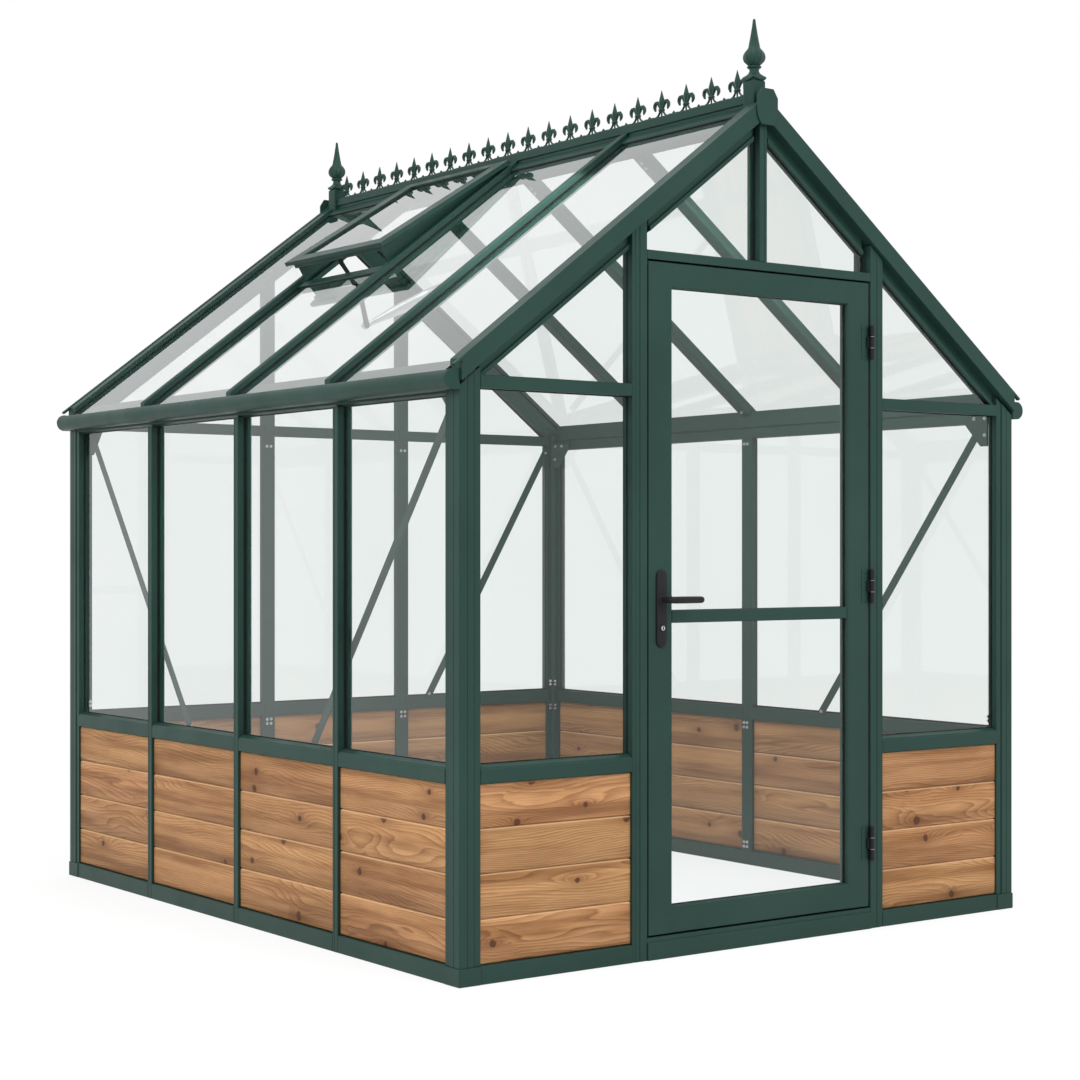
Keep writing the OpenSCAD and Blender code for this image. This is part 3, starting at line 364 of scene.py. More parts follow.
def piece(name, mesh, body, slot, *stands_for):
    mesh.name = name
    obj = bpy.data.objects.new(name, mesh)
    scene.collection.objects.link(obj)
    if not mesh.materials:
        mesh.materials.append(finishes[slot])
    if stands_for:
        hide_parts(*stands_for)
    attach(obj, body)
    pieces.append(obj)
    print(f"{name}: {len(mesh.polygons)} faces on {body}")
    return obj


def mesh_from(build):
    """Closes a bmesh into a mesh with outward normals."""
    bmesh.ops.recalc_face_normals(build, faces=build.faces)
    mesh = bpy.data.meshes.new("mesh")
    build.to_mesh(mesh)
    build.free()
    return mesh


def softened(mesh, angle=35):
    """Smooth shading that stops at edges sharper than the angle."""
    for face in mesh.polygons:
        face.use_smooth = True
    mesh.set_sharp_from_angle(angle=math.radians(angle))
    return mesh

# %% [markdown]
# Aluminium bars come out of the press with their edges eased by half a millimetre, and it is that
# edge that catches a thin line of light. A measured node has razor edges. So a copy of it is
# merged into whole faces, its sharp edges are beveled, and the copy stands for the node.

# %% Eased bars
def merged(node):
    build = bmesh.new()
    build.from_mesh(frame["nodes"][node].data)
    bmesh.ops.remove_doubles(build, verts=build.verts, dist=2e-5)
    bmesh.ops.dissolve_limit(build, angle_limit=math.radians(0.6), verts=build.verts, edges=build.edges)
    return build


def eased(node, width, segments=1):
    build = merged(node)
    sharp = [e for e in build.edges if len(e.link_faces) == 2 and e.calc_face_angle(0) > math.radians(28)]
    bmesh.ops.bevel(build, geom=sharp, offset=width, segments=segments, profile=0.5, affect="EDGES",
                    clamp_overlap=True)
    mesh = bpy.data.meshes.new("mesh")
    build.to_mesh(mesh)
    build.free()
    return softened(mesh, 12)


ease_widths = {
    "base_rails": 0.0008, "base_corner_caps": 0.0022, "door_threshold": 0.0006, "corner_columns": 0.0004,
    "side_posts": 0.0004, "door_posts": 0.0004, "back_posts": 0.0004, "sill_rails": 0.0006,
    "eaves_beams": 0.0006, "gutter_left": 0.0006, "gutter_right": 0.0006, "gutter_end_caps": 0.0009,
    "gable_eaves_bars": 0.0005, "door_transom": 0.0005, "gable_mullion": 0.0004, "bargeboards": 0.0014,
    "gable_rafters": 0.0008, "roof_bars_left": 0.0006, "roof_bars_right": 0.0006, "ridge_beam": 0.0006,
    "apex_plates": 0.0012, "vent_frame": 0.0012, "vent_sill_bar": 0.0006, "wind_braces": 0.0008,
    "corner_gussets": 0.0006, "door_stiles": 0.0006, "door_mid_bar": 0.0005,
   }
for node, width in ease_widths.items():
    piece(node + "_eased", eased(node, width), bodies[node], slots[node], node)

# %% [markdown]
# The door's rails are welded to its stiles and ground flush before coating, so no joint shows on the
# face. The ends of the eased rails are therefore run on a little way into the stiles.

# %% Door rails
mesh = eased("door_rails", 0.0006)
rail_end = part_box("door_rails")[1].x
for vert in mesh.vertices:
    if abs(vert.co.x) > rail_end - 0.001:
        vert.co.x += math.copysign(0.0056, vert.co.x)
piece("door_rails_eased", mesh, "door", "green_powder_coat", "door_rails")

# %% [markdown]
# Many pieces are laid out from the solids inside one node: the panes of a wall, the boards of each
# bay. This helper splits a node into its separate solids and gives the box of each.

# %% The separate solids of a node
def solids(node):
    build = merged(node)
    left = set(build.verts)
    boxes = []
    while left:
        group = [left.pop()]
        for vert in group:
            for edge in vert.link_edges:
                other = edge.other_vert(vert)
                if other in left:
                    left.discard(other)
                    group.append(other)
        points = [v.co.copy() for v in group]
        low = Vector([min(p[i] for p in points) for i in range(3)])
        high = Vector([max(p[i] for p in points) for i in range(3)])
        boxes.append((low, high, points))
    build.free()
    return boxes


print("bays of boards:", len(solids("side_board_panels")), "on the sides,",
      len(solids("gable_board_panels")), "on the gables")

# %% [markdown]
# What repeats is made by geometry nodes. A tree gets named inputs for its sizes, so that one tree
# serves several pieces, and it ends in real faces with a finish. The result is then kept as a
# plain mesh, because a live modifier would be left behind when the model is passed on.

# %% Helpers for geometry trees
def geometry_tree(name, **inputs):
    tree = bpy.data.node_groups.new(name, "GeometryNodeTree")
    tree.interface.new_socket("Geometry", in_out="INPUT", socket_type="NodeSocketGeometry")
    for label, (kind, value) in inputs.items():
        socket = tree.interface.new_socket(label.replace("_", " "), in_out="INPUT",
                                           socket_type="NodeSocket" + kind)
        if value is not None:
            socket.default_value = value
    tree.interface.new_socket("Finish", in_out="INPUT", socket_type="NodeSocketMaterial")
    tree.interface.new_socket("Geometry", in_out="OUTPUT", socket_type="NodeSocketGeometry")
    return tree, add(tree, "NodeGroupInput").outputs


def end_tree(tree, source, geometry):
    real = add(tree, "GeometryNodeRealizeInstances", (0, geometry))
    painted = add(tree, "GeometryNodeSetMaterial", ("Geometry", real.outputs[0]), ("Material", source["Finish"]))
    add(tree, "NodeGroupOutput", (0, painted.outputs[0]))


def grown(tree, base, finish, **values):
    """The plain mesh that a tree makes from a base mesh."""
    maker = bpy.data.objects.new("maker", base)
    scene.collection.objects.link(maker)
    modifier = maker.modifiers.new("tree", "NODES")
    modifier.node_group = tree
    for item in tree.interface.items_tree:
        if item.in_out == "INPUT" and item.name.replace(" ", "_") in values:
            modifier[item.identifier] = values[item.name.replace(" ", "_")]
        if item.name == "Finish":
            modifier[item.identifier] = finishes[finish]
    depsgraph = bpy.context.evaluated_depsgraph_get()
    mesh = bpy.data.meshes.new_from_object(maker.evaluated_get(depsgraph), preserve_all_data_layers=True,
                                           depsgraph=depsgraph)
    bpy.data.objects.remove(maker)
    return mesh


def wires(paths, closed=False):
    """A base mesh of edges only: one open or closed path for each list of points."""
    points, edges = [], []
    for path in paths:
        first = len(points)
        points += [tuple(p) for p in path]
        edges += [(first + i, first + i + 1) for i in range(len(path) - 1)]
        if closed:
            edges.append((len(points) - 1, first))
    mesh = bpy.data.meshes.new("wires")
    mesh.from_pydata(points, edges, [])
    return mesh

# %% [markdown]
# Each bay is filled with four boards, one on another, with a small V where two meet. They could be
# one slab with painted lines, but the V throws a real shadow, and the end of each board shows in
# the corner of the post. The tree takes one edge for each bay, copies it upwards once for each
# board, and sweeps a chamfered outline along it. A thinner tongue runs on behind each joint, as on
# a real matchboard, so that no light comes through.

# %% Boards
tree, source = geometry_tree("boards", Boards=("Int", 4), Panel_height=("Float", 0.5), Thickness=("Float", 0.019),
                             Chamfer=("Float", 0.0034), Gap=("Float", 0.0026), Along_Y=("Bool", False),
                             Seed=("Int", 0))
pitch = add(tree, "ShaderNodeMath", (0, source["Panel height"]), (1, source["Boards"]), operation="DIVIDE").outputs[0]
rows = add(tree, "GeometryNodeDuplicateElements", ("Geometry", source["Geometry"]), ("Amount", source["Boards"]),
           domain="EDGE")
middle = add(tree, "ShaderNodeMath", (0, rows.outputs["Duplicate Index"]), (1, 0.5), operation="ADD").outputs[0]
rise = add(tree, "ShaderNodeCombineXYZ",
           ("Z", add(tree, "ShaderNodeMath", (0, middle), (1, pitch), operation="MULTIPLY").outputs[0]))
lifted = add(tree, "GeometryNodeSetPosition", ("Geometry", rows.outputs[0]), ("Offset", rise.outputs[0]))
lines = add(tree, "GeometryNodeMeshToCurve", ("Mesh", lifted.outputs[0]))
upright = add(tree, "GeometryNodeSetCurveNormal", ("Curve", lines.outputs[0]), mode="Z_UP")
chance = add(tree, "FunctionNodeRandomValue", ("ID", add(tree, "GeometryNodeInputIndex").outputs[0]),
             ("Seed", source["Seed"]), data_type="FLOAT_VECTOR").outputs["Value"]
marked = add(tree, "GeometryNodeStoreNamedAttribute", ("Geometry", upright.outputs[0]), ("Name", "board"),
             ("Value", chance), data_type="FLOAT_VECTOR", domain="CURVE")
face = add(tree, "ShaderNodeMath", (0, pitch), (1, source["Gap"]), operation="SUBTRACT").outputs[0]
outline = add(tree, "GeometryNodeCurvePrimitiveQuadrilateral", ("Width", source["Thickness"]), ("Height", face))
outline = add(tree, "GeometryNodeFilletCurve", ("Curve", outline.outputs[0]), ("Radius", source["Chamfer"]),
              ("Count", 1), mode="POLY")
planks = add(tree, "GeometryNodeCurveToMesh", ("Curve", marked.outputs[0]), ("Profile Curve", outline.outputs[0]),
             ("Fill Caps", True))
tongue = add(tree, "GeometryNodeCurvePrimitiveQuadrilateral", ("Width", 0.006), ("Height", pitch))
tongues = add(tree, "GeometryNodeCurveToMesh", ("Curve", marked.outputs[0]), ("Profile Curve", tongue.outputs[0]),
              ("Fill Caps", True))
boards = add(tree, "GeometryNodeJoinGeometry")
for part in (tongues, planks):
    tree.links.new(part.outputs[0], boards.inputs[0])
place = add(tree, "ShaderNodeSeparateXYZ", ("Vector", add(tree, "GeometryNodeInputPosition").outputs[0])).outputs
on_side = add(tree, "ShaderNodeCombineXYZ", ("X", place[1]), ("Y", place[2]), ("Z", place[0])).outputs[0]
on_gable = add(tree, "ShaderNodeCombineXYZ", ("X", place[0]), ("Y", place[2]), ("Z", place[1])).outputs[0]
along = add(tree, "GeometryNodeSwitch", ("Switch", source["Along Y"]), ("False", on_gable), ("True", on_side),
            input_type="VECTOR").outputs[0]
read = add(tree, "GeometryNodeInputNamedAttribute", ("Name", "board"), data_type="FLOAT_VECTOR").outputs[0]
moved = add(tree, "ShaderNodeVectorMath", (0, read), (1, (23.0, 17.0, 9.0)), (2, along), operation="MULTIPLY_ADD")
stored = add(tree, "GeometryNodeStoreNamedAttribute", ("Geometry", boards.outputs[0]), ("Name", "grain"),
             ("Value", moved.outputs[0]), data_type="FLOAT_VECTOR", domain="POINT")
end_tree(tree, source, stored.outputs[0])
board_tree = tree


def board_lines(node, axis):
    """The middle of each bay's foot, as an edge along the wall."""
    paths = []
    for low, high, _ in solids(node):
        start, end = (low + high) / 2, (low + high) / 2
        start[axis], end[axis] = low[axis], high[axis]
        start.z = end.z = low.z
        paths.append((start, end))
    return wires(paths)


for node, axis, seed in (("side_board_panels", 1, 3), ("gable_board_panels", 0, 8)):
    low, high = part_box(node)
    mesh = grown(board_tree, board_lines(node, axis), "knotty_timber", Along_Y=axis == 1,
                 Panel_height=high.z - low.z, Seed=seed)
    obj = piece(node.replace("panels", "rows"), mesh, "frame", "knotty_timber", node)
    print(" box", [round(v, 3) for v in obj.bound_box[0]], [round(v, 3) for v in obj.bound_box[6]])

# %% [markdown]
# Cast, turned and bent parts are built as skins: rings of points, one after another, joined into
# faces and closed at both ends. A turned part has round rings on one axis, and a bent bar has
# rings that follow its path. A plate is one outline with two faces and eased edges.

# %% Helpers for skins
def loft(build, rings):
    rows = [[build.verts.new(p) for p in ring] for ring in rings]
    for low, high in zip(rows, rows[1:]):
        for i in range(len(low)):
            build.faces.new((low[i - 1], low[i], high[i], high[i - 1]))
    build.faces.new(rows[0][::-1])
    build.faces.new(rows[-1])


def turned(build, origin, axis, profile, count=24):
    """A turned shape; the profile is (distance along the axis, radius) pairs."""
    axis = Vector(axis).normalized()
    across = axis.orthogonal().normalized()
    other = axis.cross(across)
    angles = [math.tau * k / count for k in range(count)]
    loft(build, [[Vector(origin) + axis * far + (across * math.cos(a) + other * math.sin(a)) * radius
                  for a in angles] for far, radius in profile])


def swept(build, path, sizes, side, count=8):
    """A bar along a path; sizes are (half width in the path's plane, half thickness) pairs."""
    side = Vector(side)
    rings = []
    for i, point in enumerate(path):
        ahead = (path[min(i + 1, len(path) - 1)] - path[max(i - 1, 0)]).normalized()
        across = ahead.cross(side).normalized()
        wide, thick = sizes[i]
        rings.append([point + across * wide * math.cos(a) + side * thick * math.sin(a)
                      for a in [math.tau * k / count for k in range(count)]])
    loft(build, rings)


def plate(build, outline, thickness, ease=0.0006):
    """A flat plate from its outline, standing out by the thickness, with eased outer edges."""
    middle = sum(outline, Vector()) / len(outline)
    drawn_in = [p + (middle - p).normalized() * ease for p in outline]
    loft(build, [outline, [p + thickness * 0.8 for p in outline], [p + thickness for p in drawn_in]])


# %% [markdown]
# Some parts are placed many times over: bolts, cleats, fleurs. One tree sets out any small part on
# a list of spots, each with the way it faces, and gives it a random turn if asked. A bolt is
# never tightened to the same angle twice.

# %% A tree that sets out parts
tree, source = geometry_tree("set out", Part=("Object", None), Turn=("Float", 0.0), Seed=("Int", 0))
facing = add(tree, "GeometryNodeInputNamedAttribute", ("Name", "facing"), data_type="FLOAT_VECTOR").outputs[0]
aim = add(tree, "FunctionNodeAlignRotationToVector", ("Vector", facing), axis="Z")
chance = add(tree, "FunctionNodeRandomValue", ("ID", add(tree, "GeometryNodeInputIndex").outputs[0]),
             ("Seed", source["Seed"]), data_type="FLOAT").outputs[1]
angle = add(tree, "ShaderNodeMath", (0, chance), (1, source["Turn"]), operation="MULTIPLY").outputs[0]
turn = add(tree, "FunctionNodeAxisAngleToRotation", ("Axis", (0, 0, 1)), ("Angle", angle))
spun = add(tree, "FunctionNodeRotateRotation", ("Rotation", aim.outputs[0]), ("Rotate By", turn.outputs[0]),
           rotation_space="LOCAL")
info = add(tree, "GeometryNodeObjectInfo", ("Object", source["Part"]))
placed = add(tree, "GeometryNodeInstanceOnPoints", ("Points", source["Geometry"]),
             ("Instance", info.outputs["Geometry"]), ("Rotation", spun.outputs[0]))
end_tree(tree, source, placed.outputs[0])
set_out_tree = tree


def set_out(part, places, finish, turn=0.0, seed=0):
    """One mesh with the part at every (spot, facing) pair."""
    mesh = bpy.data.meshes.new("spots")
    mesh.from_pydata([tuple(spot) for spot, _ in places], [], [])
    way = mesh.attributes.new("facing", "FLOAT_VECTOR", "POINT")
    for item, (_, faces) in zip(way.data, places):
        item.vector = faces
    sample = bpy.data.objects.new("part", part)
    scene.collection.objects.link(sample)
    made = grown(set_out_tree, mesh, finish, Part=sample, Turn=turn, Seed=seed)
    bpy.data.objects.remove(sample)
    return made


# %% [markdown]
# The ridge carries a row of cast fleurs. Each has a spear of diamond section, two petals that curl
# out and down, a band that ties them, and splayed feet. A flat cut-out would do from afar, but the
# spear's facets and the round petals catch the light one by one along the ridge. Between the
# fleurs runs a low scallop with a small point. The front fleurs are kept out of the mirror images
# in the roof, which would clutter it; those over the vent are left in.

# %% Fleurs along the ridge
across_x = Vector((1, 0, 0))
low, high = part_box("ridge_cresting")
fleur_h = high.z - low.z
fleur_boxes = sorted(solids("ridge_cresting"), key=lambda item: item[0].y)
fleur_places = [Vector((0, (a.y + b.y) / 2, low.z)) for a, b, _ in fleur_boxes]
print(len(fleur_places), "fleurs,", round(fleur_h * 1000), "mm high")


def diamond(height, wide, thick):
    return [Vector((0, wide, height)), Vector((thick, 0, height)), Vector((0, -wide, height)),
            Vector((-thick, 0, height))]


def in_plane(points):
    """Points given as (mm along the ridge, share of a fleur's height)."""
    return [Vector((0, y / 1000, share * fleur_h)) for y, share in points]


build = bmesh.new()
loft(build, [diamond(share * fleur_h, wide / 1000, thick / 1000) for share, wide, thick in (
    (0.0, 3.6, 3.4), (0.34, 4.2, 4.0), (0.48, 10.6, 7.6), (0.64, 14.6, 10.4), (0.80, 9.4, 6.8), (0.94, 4.6, 3.6),
    (1.05, 1.0, 1.0))])
for way in (-1, 1):
    petal = in_plane([(way * y, share) for y, share in (
        (5, 0.27), (9, 0.40), (14, 0.52), (21, 0.60), (28.5, 0.59), (33.6, 0.52), (35.0, 0.42), (33.0, 0.33),
        (28.5, 0.28))])
    swept(build, petal, [(s / 1000, s / 1000) for s in (3.4, 4.8, 5.8, 6.4, 6.6, 6.4, 5.8, 4.8, 2.6)], across_x, 6)
    foot = in_plane([(way * y, share) for y, share in ((7, 0.27), (11, 0.16), (17, 0.075), (24, 0.035), (30, 0.028))])
    swept(build, foot, [(s / 1000, 0.0038) for s in (3.4, 3.2, 3.0, 2.8, 2.0)], across_x, 6)
turned(build, (0, 0, 0.235 * fleur_h), (0, 0, 1), [(0, 0.0115), (0.0015, 0.0138), (0.0055, 0.0138), (0.007, 0.0115)], 8)
for vert in build.verts:
    if 0.234 * fleur_h <= vert.co.z <= 0.235 * fleur_h + 0.0071 and vert.co.xy.length > 0.011 and abs(vert.co.x) > 1e-6:
        vert.co.x *= 0.62
fleur_mesh = mesh_from(build)
fleur_mesh.name = "fleur"

build = bmesh.new()
scallop = [(-31, 0), (-31, 2.4), (-23, 4.6), (-13, 4.8), (-6.5, 3.4), (-5.5, 5.2), (0, 11), (5.5, 5.2), (6.5, 3.4),
           (13, 4.8), (23, 4.6), (31, 2.4), (31, 0)]
loft(build, [[Vector((x / 1000, y / 1000, z / 1000 * inset)) for y, z in scallop]
             for x, inset in ((-3, 0.85), (-2, 1), (2, 1), (3, 0.85))])
scallop_mesh = mesh_from(build)

up = Vector((0, 0, 1))
vent_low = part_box("vent_frame")[0]
for name, over_vent in (("ridge_fleurs_front", False), ("ridge_fleurs_rear", True)):
    places = [(p, up) for p in fleur_places if (p.y > vent_low.y) == over_vent]
    obj = piece(name, softened(set_out(fleur_mesh, places, "green_powder_coat"), 40), "frame",
                "green_powder_coat", "ridge_cresting")
    obj.visible_glossy = over_vent
between = [((a + b) / 2, up) for a, b in zip(fleur_places, fleur_places[1:])]
piece("ridge_scallops", softened(set_out(scallop_mesh, between, "green_powder_coat"), 30), "frame",
      "green_powder_coat", "ridge_cresting")

# %% [markdown]
# A finial stands on each end of the ridge. It is one casting: a square post, a skirt that is square
# at its wavy foot and round at its neck, a collar, a ball with soft lobes, and a fluted spire with a
# blunt tip. Each ring of the skin has a size, a share of squareness, a share of lobes and a rise at
# its corners, which is enough to run from the one shape into the next. The post's foot runs down
# into the ridge, where the rafters meet.

# %% Finials
finial_rings = [  # height, radius, both in mm, squareness, lobes, rise at the corners in mm
    (-52, 24.4, 1, 0, 0), (-51, 25, 1, 0, 0), (34, 25, 1, 0, 0), (35.5, 24, 1, 0, 0), (36, 21, 1, 0, 0),
    (37, 22, 1, 0, 4), (37, 27.5, 0.95, 0, 6), (40, 29, 0.9, 0, 6), (46, 27.5, 0.75, 0, 4), (53, 22.5, 0.5, 0, 1),
    (60, 17, 0.2, 0, 0), (68, 14.5, 0, 0, 0), (75, 15.5, 0, 0, 0), (76, 20, 0, 0, 0), (78, 22, 0, 0, 0),
    (81, 22, 0, 0, 0), (83, 20, 0, 0, 0), (84, 17, 0, 0, 0), (89, 23, 0, 0.03, 0), (96, 29.5, 0, 0.05, 0),
    (104, 32.4, 0, 0.06, 0), (112, 32.8, 0, 0.06, 0), (120, 31, 0, 0.055, 0), (128, 26.5, 0, 0.045, 0),
    (134, 21.5, 0, 0.03, 0), (139, 18, 0, 0.02, 0), (144, 16.5, 0, 0.06, 0), (160, 13.2, 0, 0.09, 0),
    (180, 9.8, 0, 0.09, 0), (200, 7.0, 0, 0.07, 0), (214, 5.2, 0, 0.03, 0), (221, 4.8, 0, 0, 0),
    (226, 3.6, 0, 0, 0), (228, 1.4, 0, 0, 0)]
low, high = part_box("finials")
build = bmesh.new()
for end in (-1, 1):
    half = 0.0345
    middle_y = low.y + half if end < 0 else high.y - half
    rings = []
    for tall, radius, square, lobe, rise in finial_rings:
        ring = []
        for k in range(48):
            a = math.tau * k / 48
            box = min(1 / max(abs(math.cos(a)), abs(math.sin(a))), 1.34)
            reach = radius / 1000 * ((1 - square) + square * box) * (1 + lobe * math.cos(8 * a))
            ring.append(Vector((reach * math.cos(a), middle_y + reach * math.sin(a),
                                low.z + (tall + rise * (box - 1) / 0.34) / 1000 * (high.z - low.z) / 0.228)))
        rings.append(ring)
    loft(build, rings)
piece("cast_finials", softened(mesh_from(build), 32), "frame", "green_powder_coat", "finials")

# %% [markdown]
# Glass never touches metal in a good house. A black rubber bead runs round each pane on both
# faces, and its thin dark line beside every bar is what makes the bars look crisp. The paths are
# the outlines of the panes, drawn in to where the bars' caps end, and one tree sweeps a bead along
# all of them. Roof panes have no bead at their foot, where they run out over the gutter.

# %% Glazing beads
def broad_faces(node, area):
    """Corners and normal of every face of a node that is larger than the area."""
    build = merged(node)
    found = [([v.co.copy() for v in f.verts], f.normal.copy()) for f in build.faces if f.calc_area() > area]
    build.free()
    return found


def inset_path(corners, normal, distance):
    moved = []
    for before, here, after in zip(corners[-1:] + corners[:-1], corners, corners[1:] + corners[:1]):
        first = normal.cross((here - before).normalized())
        second = normal.cross((after - here).normalized())
        moved.append(here + (first + second) * distance / (1 + first.dot(second)))
    return moved


tree, source = geometry_tree("bead", Radius=("Float", 0.002), Sides=("Int", 6))
lines = add(tree, "GeometryNodeMeshToCurve", ("Mesh", source["Geometry"]))
outline = add(tree, "GeometryNodeCurvePrimitiveCircle", ("Resolution", source["Sides"]), ("Radius", source["Radius"]))
bead = add(tree, "GeometryNodeCurveToMesh", ("Curve", lines.outputs[0]), ("Profile Curve", outline.outputs[0]),
           ("Fill Caps", True))
end_tree(tree, source, bead.outputs[0])
bead_tree = tree

under_cap = 0.0072   # how far a pane runs in under a cap
for name, nodes, body in (("wall_beads", ("side_glass", "gable_glass"), "frame"),
                          ("roof_beads", ("roof_glass", "vent_glass"), "frame"), ("door_beads", ("door_glass",), "door")):
    paths = []
    for node in nodes:
        for corners, normal in broad_faces(node, 0.02):
            path = [p + normal * 0.0009 for p in inset_path(corners, normal, under_cap)]
            if node == "roof_glass":
                lowest = min(range(len(path)), key=lambda i: path[i].z + path[i - 1].z)
                path = path[lowest:] + path[:lowest]
                paths.append(path)
            else:
                paths.append(path + [path[0]])
    mesh = grown(bead_tree, wires(paths), "black_rubber", Radius=0.0019)
    piece(name, softened(mesh, 50), body, "black_rubber")

# %% [markdown]
# Each roof bar's cap has a raised rib along its back, which stiffens it and keeps water off the
# screws. It is a flat strip with rounded edges, and one tree sweeps it along every cap.

# %% Ribs on the roof bars
tree, source = geometry_tree("strip", Width=("Float", 0.009), Height=("Float", 0.0014), Corner=("Float", 0.0005))
lines = add(tree, "GeometryNodeMeshToCurve", ("Mesh", source["Geometry"]))
upright = add(tree, "GeometryNodeSetCurveNormal", ("Curve", lines.outputs[0]), mode="Z_UP")
outline = add(tree, "GeometryNodeCurvePrimitiveQuadrilateral", ("Width", source["Width"]), ("Height", source["Height"]))
outline = add(tree, "GeometryNodeFilletCurve", ("Curve", outline.outputs[0]), ("Radius", source["Corner"]),
              ("Count", 1), mode="POLY")
strip = add(tree, "GeometryNodeCurveToMesh", ("Curve", upright.outputs[0]), ("Profile Curve", outline.outputs[0]),
            ("Fill Caps", True))
end_tree(tree, source, strip.outputs[0])
strip_tree = tree


def middle_line(corners):
    """The line down the middle of a long face, higher end first."""
    edges = [b - a for a, b in zip(corners, corners[1:] + corners[:1])]
    along = max(edges, key=lambda e: e.length).normalized()
    centre = sum(corners, Vector()) / len(corners)
    shares = [(p - centre).dot(along) for p in corners]
    ends = [centre + along * min(shares), centre + along * max(shares)]
    return sorted(ends, key=lambda p: -p.z)


rib_paths, bar_undersides = [], []
for node in ("roof_bars_left", "roof_bars_right"):
    for corners, normal in broad_faces(node, 0.012):
        start, end = middle_line(corners)
        if normal.z > 0.7 and (end - start).length > 1.35:
            along = (end - start).normalized()
            rib_paths.append((start + along * 0.004 + normal * 0.0003, end - along * 0.004 + normal * 0.0003))
        elif normal.z < -0.7 and abs(normal.y) < 0.01 and len(corners) == 4:
            bar_undersides.append((start, end, normal))
print("ribs", len(rib_paths), "undersides", len(bar_undersides))
piece("roof_bar_ribs", softened(grown(strip_tree, wires(rib_paths), "green_powder_coat"), 30), "frame",
      "green_powder_coat")

# %% [markdown]
# The house is bolted together from inside. Where a post meets the base rail and the sill, four
# plated bolts go through its inner flange and a small cleat; pairs do at the eaves, on the corner
# gussets and at the ends of the braces. From outside they glint through the glass. Each is a washer, a
# hexagon nut and the end of its thread.

# %% Bolts and cleats
build = bmesh.new()
hexagon = [math.tau * k / 12 for k in range(12)]


def nut_ring(height, radius, corner):
    return [Vector((radius * (1 + corner * (k % 2)) * math.cos(a), radius * (1 + corner * (k % 2)) * math.sin(a), height))
            for k, a in enumerate(hexagon)]


loft(build, [nut_ring(0, 0.0062, 0), nut_ring(0.0010, 0.0062, 0), nut_ring(0.0011, 0.0042, 0.155),
             nut_ring(0.0046, 0.0042, 0.155), nut_ring(0.0050, 0.0024, 0), nut_ring(0.0080, 0.0022, 0)])
bolt_mesh = mesh_from(build)

build = bmesh.new()
side = 0.0180
loft(build, [[Vector((x * w, y * w, z)) for x, y in ((-1, -0.8), (-0.8, -1), (0.8, -1), (1, -0.8), (1, 0.8), (0.8, 1),
                                                     (-0.8, 1), (-1, 0.8))]
             for z, w in ((0, side), (0.0015, side), (0.0020, side - 0.0006))])
cleat_mesh = mesh_from(build)

sill_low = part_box("sill_rails")[0].z
base_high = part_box("base_rails")[1].z
eaves_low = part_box("eaves_beams")[0].z
wall_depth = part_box("side_posts")[1].x - max(low.x for low, _, _ in solids("side_posts"))
cleats, bolts = [], []
for low, high, _ in solids("side_posts") + solids("back_posts"):
    centre = (low + high) / 2
    if centre.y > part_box("side_posts")[1].y + 0.3:
        inward, along, face = Vector((0, -1, 0)), Vector((1, 0, 0)), Vector((centre.x, low.y, 0))
    else:
        inward = Vector((-1 if centre.x > 0 else 1, 0, 0))
        along, face = Vector((0, 1, 0)), Vector((low.x if centre.x > 0 else high.x, centre.y, 0))
    for tall in (sill_low - 0.022, base_high + 0.026):
        spot = face + Vector((0, 0, tall))
        cleats.append((spot, inward))
        bolts += [(spot + inward * 0.002 + along * a + Vector((0, 0, b)), inward)
                  for a in (-0.0088, 0.0088) for b in (-0.0085, 0.0085)]
    bolts += [(face + along * a + Vector((0, 0, eaves_low - 0.022)), inward) for a in (-0.009, 0.009)]
for low, high, _ in solids("corner_gussets"):
    inward = Vector((-1 if low.x > 0 else 1, 0, 0))
    x = low.x if low.x > 0 else high.x
    outer, way = (low.y, 1) if low.y < 0 else (high.y, -1)
    bolts += [(Vector((x, outer + way * a, high.z - b)), inward)
              for a, b in ((0.014, 0.014), (0.060, 0.014), (0.014, 0.070))]
columns_low, columns_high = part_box("corner_columns")
for x, y, way_x, way_y in ((columns_low.x, columns_low.y, 1, 1), (columns_high.x, columns_low.y, -1, 1),
                           (columns_low.x, columns_high.y, 1, -1), (columns_high.x, columns_high.y, -1, -1)):
    for tall in (sill_low - 0.030, sill_low - 0.016, sill_low + 0.072, sill_low + 0.086, base_high + 0.020,
                 base_high + 0.034):
        bolts.append((Vector((x + way_x * wall_depth, y + way_y * 0.0615, tall)), Vector((way_x, 0, 0))))
        bolts.append((Vector((x + way_x * 0.0615, y + way_y * wall_depth, tall)), Vector((0, way_y, 0))))
for low, high, _ in solids("wind_braces"):
    if high.x - low.x < 0.05:
        inward = Vector((-1 if low.x > 0 else 1, 0, 0))
        foot = high.y - 0.016 if low.y + high.y < 0.04 else low.y + 0.016
        bolts.append((Vector((low.x if low.x > 0 else high.x, foot, low.z + 0.016)), inward))
    else:
        bolts += [(Vector((low.x + 0.016, low.y, low.z + 0.016)), Vector((0, -1, 0))),
                  (Vector((high.x - 0.016, low.y, high.z - 0.016)), Vector((0, -1, 0)))]
for start, end, normal in bar_undersides:
    along = (end - start).normalized()
    bolts += [(start + along * a, normal) for a in (0.022, 0.046)]
    bolts += [(end - along * 0.026, normal)]
piece("cleats", softened(set_out(cleat_mesh, cleats, "green_powder_coat"), 30), "frame", "green_powder_coat")
piece("bolts", softened(set_out(bolt_mesh, bolts, "plated_steel", turn=math.tau, seed=5), 30), "frame",
      "plated_steel")
print(len(bolts), "bolts")

